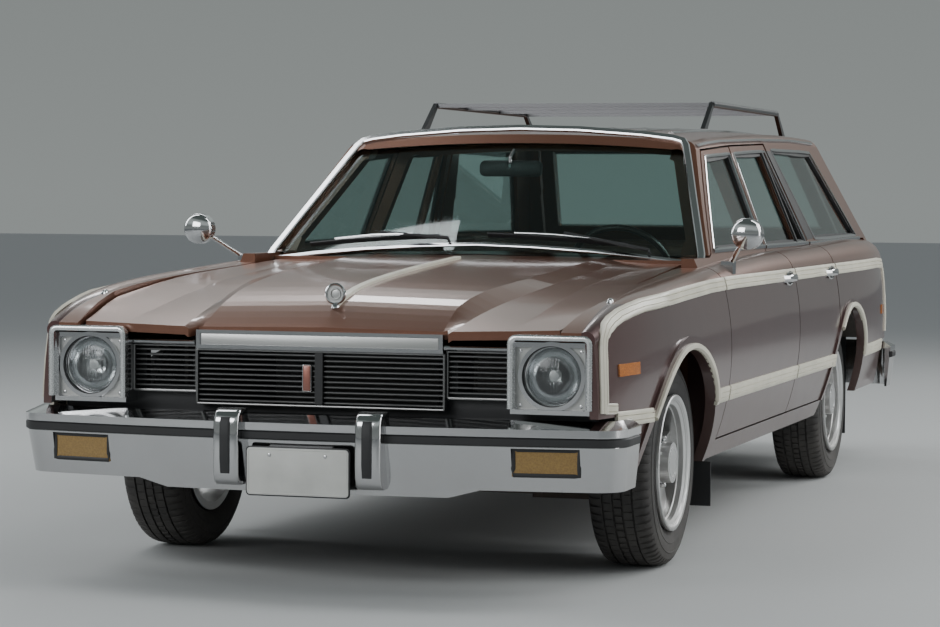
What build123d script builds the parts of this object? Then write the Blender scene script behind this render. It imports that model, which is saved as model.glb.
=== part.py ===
"""Mid-size station wagon of the mid 1970s, modelled at full size in millimetres.

+X is the car's left side, -Y its front and Z is up from the road.  The body is cut from
two master shapes, the lower body and the greenhouse, each lofted through a short table of
cross sections.  The left side is modelled and the right side is its mirror image.
"""

from build123d import *
import os

os.makedirs("parts", exist_ok=True)

# Chassis
wheelbase = 2863
front_axle_y = -1564
rear_axle_y = front_axle_y + wheelbase
front_track = 1524
rear_track = 1486
tyre_radius = 320
tyre_width = 200
rim_radius = 207
rim_bead_radius = 190
hub_radius = 62
bumper_z = (312, 509)
kingpin_x = 700
axle_z = tyre_radius

# Panels and gaps
panel_gap = 6
shut_gap = 8
skin = 25
frame_thickness = 30
glass_thickness = 5
glass_inset = 12
cabin_half_width = 750
fit_gap = 0.3

# Lower body: sill, waist and the widest line
sill_z = 285
rocker_x = 845
waist_z = 550
front_y = -2425
tail_y = 2440
door_bottom_z = 352

# Lower body sections: y, side_x, shoulder_x, shoulder_z, deck_x, deck_z
lower_sections = [
    (-2425, 850, 836, 722, 800, 757),
    (-2150, 897, 880, 792, 806, 828),
    (-1540, 918, 893, 848, 800, 880),
    (-650, 918, 893, 872, 800, 922),
    (400, 918, 893, 882, 800, 944),
    (1300, 918, 893, 886, 798, 956),
    (2050, 902, 879, 886, 782, 960),
    (2440, 868, 846, 880, 756, 955),
]

# Greenhouse sections: y, roof_z at the centre line
roof_sections = [(-1150, 1325), (-280, 1362), (500, 1397), (1300, 1413), (2000, 1408), (2520, 1398)]
side_base_x = 812
side_base_z = 890
rail_x = 650
rail_drop = 62
roof_edge_x = 598
roof_edge_drop = 24
roof_rail_x = 560

# Windshield: a cylinder that leans back
screen_foot = (0, -897, 930)
screen_run = 471
screen_rise = 380
screen_radius = 5000
screen_border = 22

# Wheel arches in side view: centre y, centre z, radius
front_arch = (-1615, 182, 490)
rear_arch = (1262, 305, 392)
arch_inner_x = 590
arch_lip = 36
front_flare = (9, 42)
rear_flare = (7, 32)

# Springs and rear end
spring_top_z = 282
hanger_z = 385
roof_lip_z = 1378

# Hood outline and hood sections
hood_front_y = -2352
hood_rear_y = -1030
hood_corner_y = -856
hood_corner_x = 718
# y, centre_z, plateau_x, plateau_z, step_x, step_z, valley_x, valley_z, edge_z
hood_sections = [
    (-2410, 722, 375, 720, 410, 748, 600, 754, 762),
    (-2300, 782, 370, 774, 420, 771, 600, 773, 786),
    (-2190, 826, 368, 817, 430, 792, 600, 790, 812),
    (-2000, 862, 385, 853, 452, 822, 602, 819, 838),
    (-1650, 893, 420, 884, 500, 866, 605, 862, 875),
    (-1200, 920, 432, 912, 510, 898, 612, 892, 900),
    (-690, 946, 440, 938, 520, 928, 620, 922, 924),
]
hood_steps = 3
hood_thickness = 25
plenum_z = 862

# Side view outlines: door posts and window line
door_front_y = -1012
door_split_y = 155
door_rear_y = 985
belt_z = 950
pillar_foot = (-735, 945)
pillar_top = (-300, 1300)
split_top_z = 1322
rear_top = (768, 1340)
rear_belt = (1000, 950)
hinge_x = 926

# Tail outline in side view
tail_outline = [(1880, 1400), (2385, 962), (2432, 870), (2440, 640), (2440, 300)]
tailgate_half_width = 640
tailgate_depth = 60
tailgate_bottom_z = 560
tailgate_top_z = 1370
tail_lamp_x = (660, 838)
tail_lamp_z = (612, 805)


def smooth_rows(rows, steps):
    """A table with more rows, on smooth curves over its first column that pass the given rows."""
    slopes = []
    for index in range(len(rows)):
        low = rows[max(index - 1, 0)]
        high = rows[min(index + 1, len(rows) - 1)]
        slopes.append([(b - a) / (high[0] - low[0]) for a, b in zip(low, high)])
    table = []
    for index in range(len(rows) - 1):
        span = rows[index + 1][0] - rows[index][0]
        for step in range(steps):
            t = step / steps
            rise = t * t * (3 - 2 * t)
            leave = span * t * (1 - t) ** 2
            arrive = span * t * t * (1 - t)
            table.append([
                a + rise * (b - a) + leave * slope_a - arrive * slope_b
                for a, b, slope_a, slope_b in zip(rows[index], rows[index + 1], slopes[index], slopes[index + 1])
            ])
    table.append(rows[-1])
    return table


def lower_body(inset):
    """Left half of the body below the windows, drawn in by an inset."""
    with BuildPart() as shell:
        for y, side_x, shoulder_x, shoulder_z, deck_x, deck_z in lower_sections:
            foot = (rocker_x - inset, sill_z)
            waist = (side_x - inset, waist_z)
            shoulder = (shoulder_x - inset, shoulder_z)
            deck = (deck_x - inset, deck_z - inset)
            crown = ((shoulder[0] + deck[0]) / 2 + 16, (shoulder[1] + deck[1]) / 2 + 12)
            with BuildSketch(Plane.XZ.offset(-y)):
                with BuildLine():
                    Line((0, sill_z), foot)
                    ThreePointArc(foot, waist, shoulder)
                    ThreePointArc(shoulder, crown, deck)
                    Line(deck, (0, deck[1]))
                    Line((0, deck[1]), (0, sill_z))
                make_face()
        loft()
    return shell.part


def greenhouse(inset):
    """Left half of the roof and windows, drawn in by an inset."""
    with BuildPart() as shell:
        for y, roof_z in roof_sections:
            foot = (side_base_x - inset, side_base_z)
            rail = (rail_x - inset, roof_z - rail_drop - inset / 2)
            edge = (roof_edge_x - inset, roof_z - roof_edge_drop - inset)
            corner = ((rail[0] + edge[0]) / 2 + 9, (rail[1] + edge[1]) / 2 + 7)
            top = (0, roof_z - inset)
            crown = (edge[0] / 2, roof_z - inset - roof_edge_drop * 0.25)
            with BuildSketch(Plane.XZ.offset(-y)):
                with BuildLine():
                    Line((0, side_base_z), foot)
                    Line(foot, rail)
                    ThreePointArc(rail, corner, edge)
                    ThreePointArc(edge, crown, top)
                    Line(top, (0, side_base_z))
                make_face()
        loft()
    return shell.part


def side_prism(outline, from_x=0, to_x=1000):
    """Solid whose side view is the outline."""
    with BuildPart() as prism:
        with BuildSketch(Plane.YZ.offset(from_x)):
            with BuildLine():
                Polyline(*outline, close=True)
            make_face()
        extrude(amount=to_x - from_x)
    return prism.part


def side_disc(centre_y, centre_z, radius, from_x, to_x):
    """Round solid across the car, as for a wheel arch."""
    with BuildPart() as disc:
        with BuildSketch(Plane.YZ.offset(from_x)):
            with Locations((centre_y, centre_z)):
                Circle(radius)
        extrude(amount=to_x - from_x)
    return disc.part


def behind_screen(depth):
    """Everything behind the windshield surface, moved in by a depth."""
    lean = Plane(origin=screen_foot, x_dir=(1, 0, 0), z_dir=(0, screen_run, screen_rise))
    with BuildPart() as block:
        with BuildSketch(lean):
            with Locations((0, screen_radius + depth)):
                Circle(screen_radius)
        extrude(amount=4500, both=True)
    return block.part


def finish(solid, name):
    """Label a finished piece and write it."""
    solid.label = name
    export_step(solid, f"parts/{name}.step")


def finish_pair(solid, name):
    """Write a left piece and its mirror image as one node."""
    with BuildPart() as pair:
        add(solid)
        mirror(about=Plane.YZ)
    finish(pair.part, name)


def finish_sides(solid, name):
    """Write a left piece and its mirror image as two nodes."""
    with BuildPart() as right:
        mirror(solid, about=Plane.YZ)
    finish(solid, f"{name}_left")
    finish(right.part, f"{name}_right")


def box(x, y, z):
    """Box between named limits, each a pair."""
    with BuildPart() as block:
        with Locations(((x[0] + x[1]) / 2, (y[0] + y[1]) / 2, (z[0] + z[1]) / 2)):
            Box(x[1] - x[0], y[1] - y[0], z[1] - z[0])
    return block.part


# Master shapes, left half
body_outer = lower_body(0)
body_inner = lower_body(skin)
house_outer = greenhouse(0)
house_inner = greenhouse(frame_thickness)
screen_limit = behind_screen(0)
tail_limit = side_prism(
    [(-3000, 100), (-3000, 1600), (1700, 1600), (1700, tail_outline[0][1] + 60), *tail_outline, (2440, 100)],
    -1000,
)

# Side view outlines of the doors and windows
front_door_rear_y = door_split_y - shut_gap / 2
rear_door_front_y = door_split_y + shut_gap / 2
front_door_outline = [
    (door_front_y, door_bottom_z), (door_front_y, 935), (-775, 935), pillar_foot, pillar_top,
    (front_door_rear_y - 4, split_top_z), (front_door_rear_y - 1, belt_z), (front_door_rear_y, 900),
    (front_door_rear_y, door_bottom_z),
]
rear_door_outline = [
    (rear_door_front_y, door_bottom_z), (rear_door_front_y, 900), (rear_door_front_y + 1, belt_z),
    (rear_door_front_y + 4, split_top_z + 1), rear_top, rear_belt, (door_rear_y, 880),
    (door_rear_y, door_bottom_z),
]
front_window = [
    (-672, belt_z + 12), (-276, pillar_top[1] - 24), (116, split_top_z - 28), (120, belt_z + 12),
]
rear_window = [
    (192, belt_z + 12), (196, split_top_z - 26), (rear_top[0] - 26, rear_top[1] - 28),
    (rear_belt[0] - 48, belt_z + 14),
]
division = [(680, 1318), (692, 1318), (787, 955), (775, 955)]
quarter_window = [(1175, belt_z + 24), (885, 1322), (1690, 1322), (2140, belt_z + 26)]
aperture = [
    (door_front_y - panel_gap, door_bottom_z - panel_gap), (door_front_y - panel_gap, 941),
    (-783, 941), (pillar_foot[0] - 11, pillar_foot[1] + 3), (pillar_top[0] - 10, pillar_top[1] + panel_gap),
    (front_door_rear_y, split_top_z + panel_gap + 1), (rear_top[0] + 22, rear_top[1] + panel_gap + 1),
    (rear_belt[0] + 13, rear_belt[1]), (door_rear_y + 11, 880), (door_rear_y + 11, door_bottom_z - panel_gap),
]
drip_line = [(-1300, 1240), (-360, 1322), (28, 1350), (665, 1368), (1300, 1378), (1990, 1372), (2600, 1360)]


def above(line):
    """Side view area above a line."""
    return [*line, (line[-1][0], 1700), (line[0][0], 1700)]


def below(line):
    """Side view area below a line."""
    return [*line, (line[-1][0], 100), (line[0][0], 100)]


def rear_prism(outline, from_y=1500, to_y=2700):
    """Solid whose rear view is the outline."""
    with BuildPart() as prism:
        with BuildSketch(Plane.XZ.offset(-to_y)):
            with BuildLine():
                Polyline(*outline, close=True)
            make_face()
        extrude(amount=to_y - from_y)
    return prism.part


gate_outline = [(0, tailgate_bottom_z), (tailgate_half_width, tailgate_bottom_z), (tailgate_half_width, 880),
                (672, 962), (566, tailgate_top_z), (0, tailgate_top_z)]
gate_room = rear_prism([
    (0, tailgate_bottom_z - shut_gap), (tailgate_half_width + shut_gap, tailgate_bottom_z - shut_gap),
    (tailgate_half_width + shut_gap, 880), (681, 962), (575, roof_lip_z), (0, roof_lip_z)], 1800, 2700)
tail_lamp_room = box(tail_lamp_x, (tail_y - 36, tail_y + 100), tail_lamp_z)

# Roof panel with its windshield and tailgate headers
with BuildPart() as roof_half:
    add(house_outer)
    add(house_inner, mode=Mode.SUBTRACT)
    add(screen_limit, mode=Mode.INTERSECT)
    add(tail_limit, mode=Mode.INTERSECT)
    add(gate_room, mode=Mode.SUBTRACT)
    with BuildPart(mode=Mode.PRIVATE) as roof_area:
        add(side_prism(above(drip_line)))
        add(box((0, roof_rail_x), (-1300, 2600), (1000, 1600)))
    add(roof_area.part, mode=Mode.INTERSECT)
finish_pair(roof_half.part, "roof_panel")

# Front fender
hood_side = [(740, -2500), (740, -2400), (782, -2080), (766, -1500), (728, hood_corner_y), (728, -700)]
with BuildPart() as fender_flare:
    add(lower_body(-front_flare[0]))
    add(side_disc(front_arch[0], front_arch[1], front_arch[2] + front_flare[1], 600, 1000), mode=Mode.INTERSECT)
with BuildPart() as fender_left:
    add(body_outer)
    add(fender_flare.part)
    add(body_inner, mode=Mode.SUBTRACT)
    with BuildSketch(Plane.XY):
        with BuildLine():
            Polyline(*hood_side, (1000, -700), (1000, -2500), close=True)
        make_face()
    extrude(amount=1200, mode=Mode.INTERSECT)
    add(side_prism([(front_y, bumper_z[1] + 8), (-2190, bumper_z[1] + 8), (-2190, 330), (-2090, 330), (-2090, 100),
                    (door_front_y - panel_gap, 100), (door_front_y - panel_gap, 1200), (front_y, 1200)]),
        mode=Mode.INTERSECT)
    add(side_disc(*front_arch, 0, 1000), mode=Mode.SUBTRACT)
    add(box((700, 745), (door_front_y - 100, 0), (0, 1200)), mode=Mode.SUBTRACT)
finish_pair(fender_left.part, "front_fenders")

# Body side: hinge post, sill, windshield post, centre post and rear quarter
rear_arch_room = side_disc(*rear_arch, 0, 1000)
front_arch_room = side_disc(*front_arch, 0, 1000)
post_x = cabin_half_width + fit_gap
with BuildPart() as side_upper:
    add(house_outer)
    add(house_inner, mode=Mode.SUBTRACT)
    add(screen_limit, mode=Mode.INTERSECT)
    add(tail_limit, mode=Mode.INTERSECT)
    add(side_prism(below(drip_line)), mode=Mode.INTERSECT)
    add(box((roof_rail_x, 1000), (-1300, 2600), (941, 1500)), mode=Mode.INTERSECT)
with BuildPart() as quarter_flare:
    add(lower_body(-rear_flare[0]))
    add(side_disc(rear_arch[0], rear_arch[1], rear_arch[2] + rear_flare[1], 600, 1000), mode=Mode.INTERSECT)
with BuildPart() as quarter_skin:
    add(body_outer)
    add(quarter_flare.part)
    add(body_inner, mode=Mode.SUBTRACT)
    add(box((690, 1000), (0, 2600), (330, 1200)), mode=Mode.INTERSECT)
    add(tail_limit, mode=Mode.INTERSECT)
    add(box((600, 1000), (2215, 2600), (0, bumper_z[1] + 8)), mode=Mode.SUBTRACT)
with BuildPart() as sill:
    add(body_outer)
    add(box((post_x, 1000), (door_front_y - panel_gap, door_rear_y + 40), (sill_z, door_bottom_z - panel_gap)),
        mode=Mode.INTERSECT)
with BuildPart() as post_foot:
    add(house_outer)
    add(box((690, 900), (-840, pillar_foot[0] - 22), (941, 985)), mode=Mode.INTERSECT)
    add(box((690, 740), (pillar_foot[0] - 22, -690), (941, 985)))
    add(behind_screen(screen_border), mode=Mode.INTERSECT)
with BuildPart() as hinge_post:
    add(lower_body(skin + fit_gap))
    add(box((post_x, 1000), (-1120, door_front_y - panel_gap), (sill_z, 860)), mode=Mode.INTERSECT)
post_half_width = 40
post_y = (door_split_y - post_half_width, door_split_y + post_half_width)
with BuildPart() as centre_post_upper:
    add(greenhouse(frame_thickness + 6))
    add(greenhouse(frame_thickness + 46), mode=Mode.SUBTRACT)
    add(box((0, 1000), (post_y[0], door_split_y + 3), (895, 1345)), mode=Mode.INTERSECT)
with BuildPart() as centre_post:
    add(lower_body(48))
    add(box((post_x, 1000), post_y, (sill_z, 896)), mode=Mode.INTERSECT)
with BuildPart() as post_head:
    add(greenhouse(2))
    add(greenhouse(frame_thickness + 30), mode=Mode.SUBTRACT)
    add(box((roof_rail_x, 1000), (post_y[0], door_split_y + 3), (split_top_z + panel_gap + 2, 1350)), mode=Mode.INTERSECT)
with BuildPart() as pillar_core:
    add(greenhouse(frame_thickness + 5))
    add(greenhouse(frame_thickness + 42), mode=Mode.SUBTRACT)
    add(behind_screen(screen_border), mode=Mode.INTERSECT)
    add(behind_screen(screen_border + 45), mode=Mode.SUBTRACT)
    add(box((roof_rail_x, 1000), (-900, 0), (960, 1335)), mode=Mode.INTERSECT)
with BuildPart() as pillar_strip:
    add(house_outer)
    add(greenhouse(frame_thickness + 42), mode=Mode.SUBTRACT)
    add(behind_screen(screen_border), mode=Mode.INTERSECT)
    add(side_prism(aperture), mode=Mode.SUBTRACT)
    add(side_prism(below(drip_line)), mode=Mode.INTERSECT)
    add(box((roof_rail_x, 1000), (-900, -300), (960, 1335)), mode=Mode.INTERSECT)
with BuildPart() as aperture_room:
    add(side_prism(aperture))
    add(box((0, 1000), (-1500, door_rear_y + 11), (door_bottom_z - panel_gap, 930)))
    add(side_disc(rear_arch[0], rear_arch[1], rear_arch[2] + arch_lip, 0, 1000), mode=Mode.SUBTRACT)
tail_inner = side_prism(
    [(-3000, 100), (-3000, 1600), (1700, 1600), (1700, tail_outline[0][1] + 60),
     *[(y - tailgate_depth, z) for y, z in tail_outline], (2440 - tailgate_depth, 100)], -1000)
with BuildPart() as tail_slab:
    add(tail_limit)
    add(tail_inner, mode=Mode.SUBTRACT)
corner_inner = [(tailgate_half_width + shut_gap, 530), (tailgate_half_width + shut_gap, 878), (681, 962),
                (575, 1376), (1000, 1376), (1000, 530)]
with BuildPart() as corner_post:
    add(body_outer)
    add(house_outer)
    add(tail_slab.part, mode=Mode.INTERSECT)
    add(rear_prism(corner_inner), mode=Mode.INTERSECT)
    add(side_prism(above(drip_line)), mode=Mode.SUBTRACT)
quarter_top_z = 962
with BuildPart() as body_side:
    add(side_upper.part)
    add(corner_post.part)
    add(box((0, 1000), (door_rear_y + 11, 2600), (0, quarter_top_z)), mode=Mode.SUBTRACT)
    add(aperture_room.part, mode=Mode.SUBTRACT)
    add(side_prism(quarter_window), mode=Mode.SUBTRACT)
    add(sill.part)
    add(hinge_post.part)
    add(post_foot.part)
    add(centre_post.part)
    add(centre_post_upper.part)
    add(post_head.part)
    add(pillar_core.part)
    add(pillar_strip.part)
    add(rear_arch_room, mode=Mode.SUBTRACT)
    add(front_arch_room, mode=Mode.SUBTRACT)
    add(gate_room, mode=Mode.SUBTRACT)
finish_pair(body_side.part, "body_sides")

# Rear quarter panel below the windows, standing on the sill
with BuildPart() as quarter_half:
    add(quarter_skin.part)
    add(corner_post.part)
    add(box((0, 1000), (0, 2600), (0, quarter_top_z - fit_gap)), mode=Mode.INTERSECT)
    add(aperture_room.part, mode=Mode.SUBTRACT)
    add(box((0, 1000), (0, door_rear_y + 40), (0, door_bottom_z - panel_gap + fit_gap)), mode=Mode.SUBTRACT)
    add(rear_arch_room, mode=Mode.SUBTRACT)
    add(tail_lamp_room, mode=Mode.SUBTRACT)
    add(gate_room, mode=Mode.SUBTRACT)
finish_pair(quarter_half.part, "quarter_panels")

# Doors: a box below the belt and a thin frame round the window
with BuildPart() as cabin_void:
    with BuildSketch(Plane.YZ):
        with BuildLine():
            Polyline((-1120, sill_z - 50), (-1120, belt_z + 1), (2700, belt_z + 1), (2700, sill_z - 50), close=True)
        make_face()
    extrude(amount=cabin_half_width)
with BuildPart() as body_core:
    add(body_inner)
    add(house_inner)
with BuildPart() as frame_room:
    add(house_inner)
    add(box((0, 1000), (-1300, 2600), (belt_z, 1600)), mode=Mode.INTERSECT)


def door(outline, window, rooms):
    """Door shell with room for the posts that it shuts on."""
    with BuildPart() as shell:
        add(body_outer)
        add(house_outer)
        add(side_prism(outline), mode=Mode.INTERSECT)
        add(frame_room.part, mode=Mode.SUBTRACT)
        add(cabin_void.part, mode=Mode.SUBTRACT)
        add(side_prism(window), mode=Mode.SUBTRACT)
        for room_y in rooms:
            with BuildPart(mode=Mode.PRIVATE) as room:
                add(body_core.part)
                add(box((0, 1000), room_y, (0, 1600)), mode=Mode.INTERSECT)
            add(room.part, mode=Mode.SUBTRACT)
    return shell


post_room = (door_split_y - post_half_width - 32, door_split_y + post_half_width + 8)
rear_arch_border = side_disc(rear_arch[0], rear_arch[1], rear_arch[2] + arch_lip + 10, 0, 1000)
front_door = door(front_door_outline, front_window, [post_room])
rear_door = door(rear_door_outline, rear_window, [post_room, (door_rear_y - 40, door_rear_y + 60)])
arch_swing_room = 45
with BuildPart() as rear_door_room:
    add(body_core.part)
    add(side_disc(rear_arch[0], rear_arch[1], rear_arch[2] + arch_lip + arch_swing_room, 0, 1000), mode=Mode.INTERSECT)
with BuildPart() as division_bar:
    add(greenhouse(4))
    add(greenhouse(frame_thickness), mode=Mode.SUBTRACT)
    add(side_prism(division), mode=Mode.INTERSECT)
with BuildPart() as rear_door_shell:
    add(rear_door.part)
    add(rear_arch_border, mode=Mode.SUBTRACT)
    add(rear_door_room.part, mode=Mode.SUBTRACT)
    add(division_bar.part)
finish_sides(front_door.part, "door_front")
finish_sides(rear_door_shell.part, "door_rear")

# Side glass, flush in the window openings
def side_glass(window):
    """Thin curved pane in a window opening."""
    with BuildPart() as pane:
        add(greenhouse(glass_inset))
        add(greenhouse(glass_inset + glass_thickness), mode=Mode.SUBTRACT)
        add(side_prism(window), mode=Mode.INTERSECT)
    return pane.part


finish_sides(side_glass(front_window), "glass_front")
with BuildPart() as rear_panes:
    add(side_glass(rear_window))
    add(side_prism([(y + reach, z) for (y, z), reach in zip(division, (-fit_gap, fit_gap, fit_gap, -fit_gap))]),
        mode=Mode.SUBTRACT)
finish_sides(rear_panes.part, "glass_rear")
finish_pair(side_glass(quarter_window), "quarter_glasses")

# Hood surface, carried on through the cowl
with BuildPart() as hood_upper:
    for y, centre_z, plateau_x, plateau_z, step_x, step_z, valley_x, valley_z, edge_z in smooth_rows(
            hood_sections, hood_steps):
        with BuildSketch(Plane.XZ.offset(-y)):
            with BuildLine():
                Polyline((0, centre_z), (plateau_x, plateau_z), (step_x, step_z), (valley_x, valley_z),
                         (850, edge_z), (850, 500), (0, 500), close=True)
            make_face()
    loft(ruled=True)
hood_top = hood_upper.part

# Windshield
with BuildPart() as screen_half:
    add(greenhouse(frame_thickness + fit_gap))
    add(behind_screen(glass_inset), mode=Mode.INTERSECT)
    add(behind_screen(glass_inset + glass_thickness), mode=Mode.SUBTRACT)
    add(box((0, 1000), (-1300, 0), (935, 1400)), mode=Mode.INTERSECT)
    add(box((744, 1000), (-1300, 0), (0, 956)), mode=Mode.SUBTRACT)
    add(hood_top.moved(Location((0, 0, fit_gap))), mode=Mode.SUBTRACT)
finish_pair(screen_half.part, "windshield")

# Hood
with BuildPart() as hood_sheet:
    add(hood_upper.part)
    add(hood_upper.part.moved(Location((0, 0, -hood_thickness))), mode=Mode.SUBTRACT)
with BuildPart() as hood_half:
    add(hood_sheet.part)
    with BuildSketch(Plane.XY):
        with BuildLine():
            Polyline((0, hood_rear_y), (0, hood_front_y), (385, hood_front_y), (400, -2392), (735 - panel_gap, -2392),
                     (777 - panel_gap, -2080), (761 - panel_gap, -1500), (hood_corner_x, hood_corner_y))
            ThreePointArc((hood_corner_x, hood_corner_y), (370, -978), (0, hood_rear_y))
        make_face()
    extrude(amount=1200, mode=Mode.INTERSECT)
    add(box((560, 640), (-960, -932), (plenum_z + fit_gap, 890)))
finish_pair(hood_half.part, "hood")

# Cowl: the sheet between hood and windshield, its plenum and the firewall
with BuildPart() as cowl_sheet:
    add(hood_sheet.part)
    with BuildSketch(Plane.XY):
        with BuildLine():
            cowl_side = (hood_corner_x, hood_corner_y + shut_gap)
            ThreePointArc(cowl_side, (370, -978 + shut_gap), (0, hood_rear_y + shut_gap))
            Polyline((0, hood_rear_y + shut_gap), (0, -700), (745, -700), (745, hood_corner_y + shut_gap), cowl_side)
        make_face()
    extrude(amount=1200, mode=Mode.INTERSECT)
with BuildPart() as cowl_half:
    add(box((0, cabin_half_width - fit_gap), (-930, -905), (402.3, plenum_z)))
    add(box((0, cabin_half_width - fit_gap), (-965, -835), (plenum_z - 20, plenum_z)))
    add(box((0, 745), (-850, -835), (plenum_z - 20, 925)))
    add(box((692, 742), (-765, -700), (890, 941)))
    add(box((0, 140), (-1000, -700), (300, 480)), mode=Mode.SUBTRACT)
    add(cowl_sheet.part)
finish_pair(cowl_half.part, "cowl_panel")

# Nose panel behind the lamps and grille, with the radiator support
nose_y = (-2330, -2300)
lamp_x = 709
lamp_z = 632
lamp_radius = 86
grille_half_width = 385
with BuildPart() as nose_half:
    with BuildSketch(Plane.XZ.offset(-nose_y[1])):
        with BuildLine():
            Polyline((0, 330), (815, 330), (822, 700), (600, 700), (400, 668), (0, 668), close=True)
        make_face()
        with Locations((lamp_x, lamp_z)):
            Circle(lamp_radius + 6, mode=Mode.SUBTRACT)
        with Locations((190, 600)):
            Rectangle(380, 130, mode=Mode.SUBTRACT)
        with Locations((485, 625)):
            Rectangle(150, 110, mode=Mode.SUBTRACT)
    extrude(amount=nose_y[1] - nose_y[0])
    add(box((399.7, 460.3), nose_y, (371.7, 422.3)), mode=Mode.SUBTRACT)
finish_pair(nose_half.part, "nose_panel")

# Grille: centre and outer bars in frames
bar_height = 6
bar_count = 10
with BuildPart() as grille_half:
    with Locations((192, -2350, 605)):
        Box(384, 40, 165)
        Box(372, 42, 153, mode=Mode.SUBTRACT)
    with Locations((487, -2345, 627)):
        Box(205, 30, 140)
        Box(193, 32, 128, mode=Mode.SUBTRACT)
    for step in range(bar_count):
        with Locations((192, -2350, 536 + step * 15.2)):
            Box(378, 26, bar_height)
    for step in range(8):
        with Locations((487, -2343, 575 + step * 15)):
            Box(200, 20, bar_height)
    with Locations((6, -2356, 607)):
        Box(12, 34, 150)
finish_pair(grille_half.part, "grille")
header_front_y = -2382
with BuildPart() as header_half:
    add(box((0, 380), (header_front_y, hood_front_y - fit_gap), (687.8, 742)))
    add(box((0, 368), (header_front_y, header_front_y + 5), (698, 732)), mode=Mode.SUBTRACT)
finish_pair(header_half.part, "grille_header")

# Headlamps and bezels
bezel_x = (590, 821)
bezel_z = (525, 728)
bezel_front_y = -2412
bezel_border = 13
bezel_depth = 16
bezel_ring = 12
with BuildPart() as bezel:
    add(box(bezel_x, (bezel_front_y, -2330), bezel_z))
    add(box((bezel_x[0] + bezel_border, bezel_x[1] - bezel_border), (bezel_front_y, bezel_front_y + bezel_depth),
            (bezel_z[0] + bezel_border, bezel_z[1] - bezel_border)), mode=Mode.SUBTRACT)
    with BuildSketch(Plane.XZ.offset(-bezel_front_y - bezel_depth)):
        with Locations((lamp_x, lamp_z)):
            Circle(lamp_radius + bezel_ring)
    extrude(amount=bezel_depth - 5)
    with BuildSketch(Plane.XZ.offset(2500)):
        with Locations((lamp_x, lamp_z)):
            Circle(lamp_radius + fit_gap)
    extrude(amount=-400, mode=Mode.SUBTRACT)
    add(lower_body(skin + fit_gap), mode=Mode.INTERSECT)
finish_pair(bezel.part, "headlamp_bezels")
with BuildPart() as lamp:
    with BuildSketch(Plane.XY.offset(0)):
        with BuildLine():
            Polyline((0, 0), (lamp_radius, 0), (lamp_radius, 20), (45, 75), (0, 75), close=True)
        make_face()
    revolve(axis=Axis.Y)
finish_pair(lamp.part.moved(Location((lamp_x, -2371, lamp_z))), "headlamps")

# Bumpers: a formed channel that follows the ends of the car
bumper_levels = [(bumper_z[0] - 24, 36), (435, 8), (468, 0), (488, 0), (bumper_z[1], 60)]
bumper_wall = 50
bumper_flange_z = 478
bumper_flange = 105
strip_z = (438, 466)
strip_floor = 13
bumper_end_cut = [(430, 200), (430, bumper_levels[0][0]), (520, bumper_z[0]), (1000, bumper_z[0]), (1000, 200)]


def bumper_plan(face_y, end_y, turn, back, z):
    """Plan view of a bumper, with its face drawn back; turn is -1 at the front and 1 at the rear."""
    bend_x = 860 - back / 2
    side_x = 925 - back / 2
    bend_y = face_y - turn * (back + 75)
    side_y = face_y - turn * (back + 150)
    mid_y = face_y - turn * (back + 100)
    with BuildSketch(Plane.XY.offset(z)) as plan:
        with BuildLine():
            ThreePointArc((-bend_x, bend_y), (0, face_y - turn * back), (bend_x, bend_y))
            ThreePointArc((bend_x, bend_y), (bend_x + 43, mid_y), (side_x, side_y))
            Line((side_x, side_y), (side_x, end_y))
            Line((side_x, end_y), (-side_x, end_y))
            Line((-side_x, end_y), (-side_x, side_y))
            ThreePointArc((-side_x, side_y), (-bend_x - 43, mid_y), (-bend_x, bend_y))
        make_face()
    return plan.sketch


def bumper_block(face_y, end_y, turn, back, z):
    """Solid inside a plan view, between two levels."""
    with BuildPart() as block:
        add(bumper_plan(face_y, end_y, turn, back, z[0]))
        extrude(amount=z[1] - z[0])
    return block.part


def bumper(face_y, end_y, turn):
    """Channel bumper with a raked face, a crest, a strip groove and a top flange."""
    open_y = end_y - turn * 10
    with BuildPart() as channel:
        for z, back in bumper_levels:
            add(bumper_plan(face_y, end_y, turn, back, z))
        loft(ruled=True)
        add(bumper_block(face_y, open_y, turn, bumper_wall, (0, bumper_flange_z)), mode=Mode.SUBTRACT)
        add(bumper_block(face_y, open_y, turn, bumper_flange, (bumper_flange_z, 600)), mode=Mode.SUBTRACT)
        with BuildPart(mode=Mode.PRIVATE) as groove:
            add(bumper_block(face_y, end_y, turn, -60, strip_z))
            add(bumper_block(face_y, open_y, turn, strip_floor, strip_z), mode=Mode.SUBTRACT)
        add(groove.part, mode=Mode.SUBTRACT)
        for side in (-1, 1):
            with BuildPart(mode=Mode.PRIVATE) as end_cut:
                with BuildSketch(Plane.XZ.offset(-3000)):
                    with BuildLine():
                        Polyline(*[(side * x, z) for x, z in bumper_end_cut], close=True)
                    make_face()
                extrude(amount=6000)
            add(end_cut.part, mode=Mode.SUBTRACT)
    return channel.part


front_bumper_line = (-2530, -2230, -1)
rear_bumper_line = (2530, 2250, 1)
lamp_pocket_x = (614, 806)
lamp_pocket_z = (354, 434)
pocket_floor = 36
with BuildPart() as front_bumper:
    add(bumper(*front_bumper_line))
    with BuildPart(mode=Mode.PRIVATE) as pockets:
        add(box(lamp_pocket_x, (-2600, -2300), lamp_pocket_z))
        mirror(about=Plane.YZ)
        add(bumper_block(*front_bumper_line, pocket_floor, lamp_pocket_z), mode=Mode.SUBTRACT)
    add(pockets.part, mode=Mode.SUBTRACT)
finish(front_bumper.part, "front_bumper")
rear_bumper = bumper(*rear_bumper_line)
finish(rear_bumper, "rear_bumper")

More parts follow.
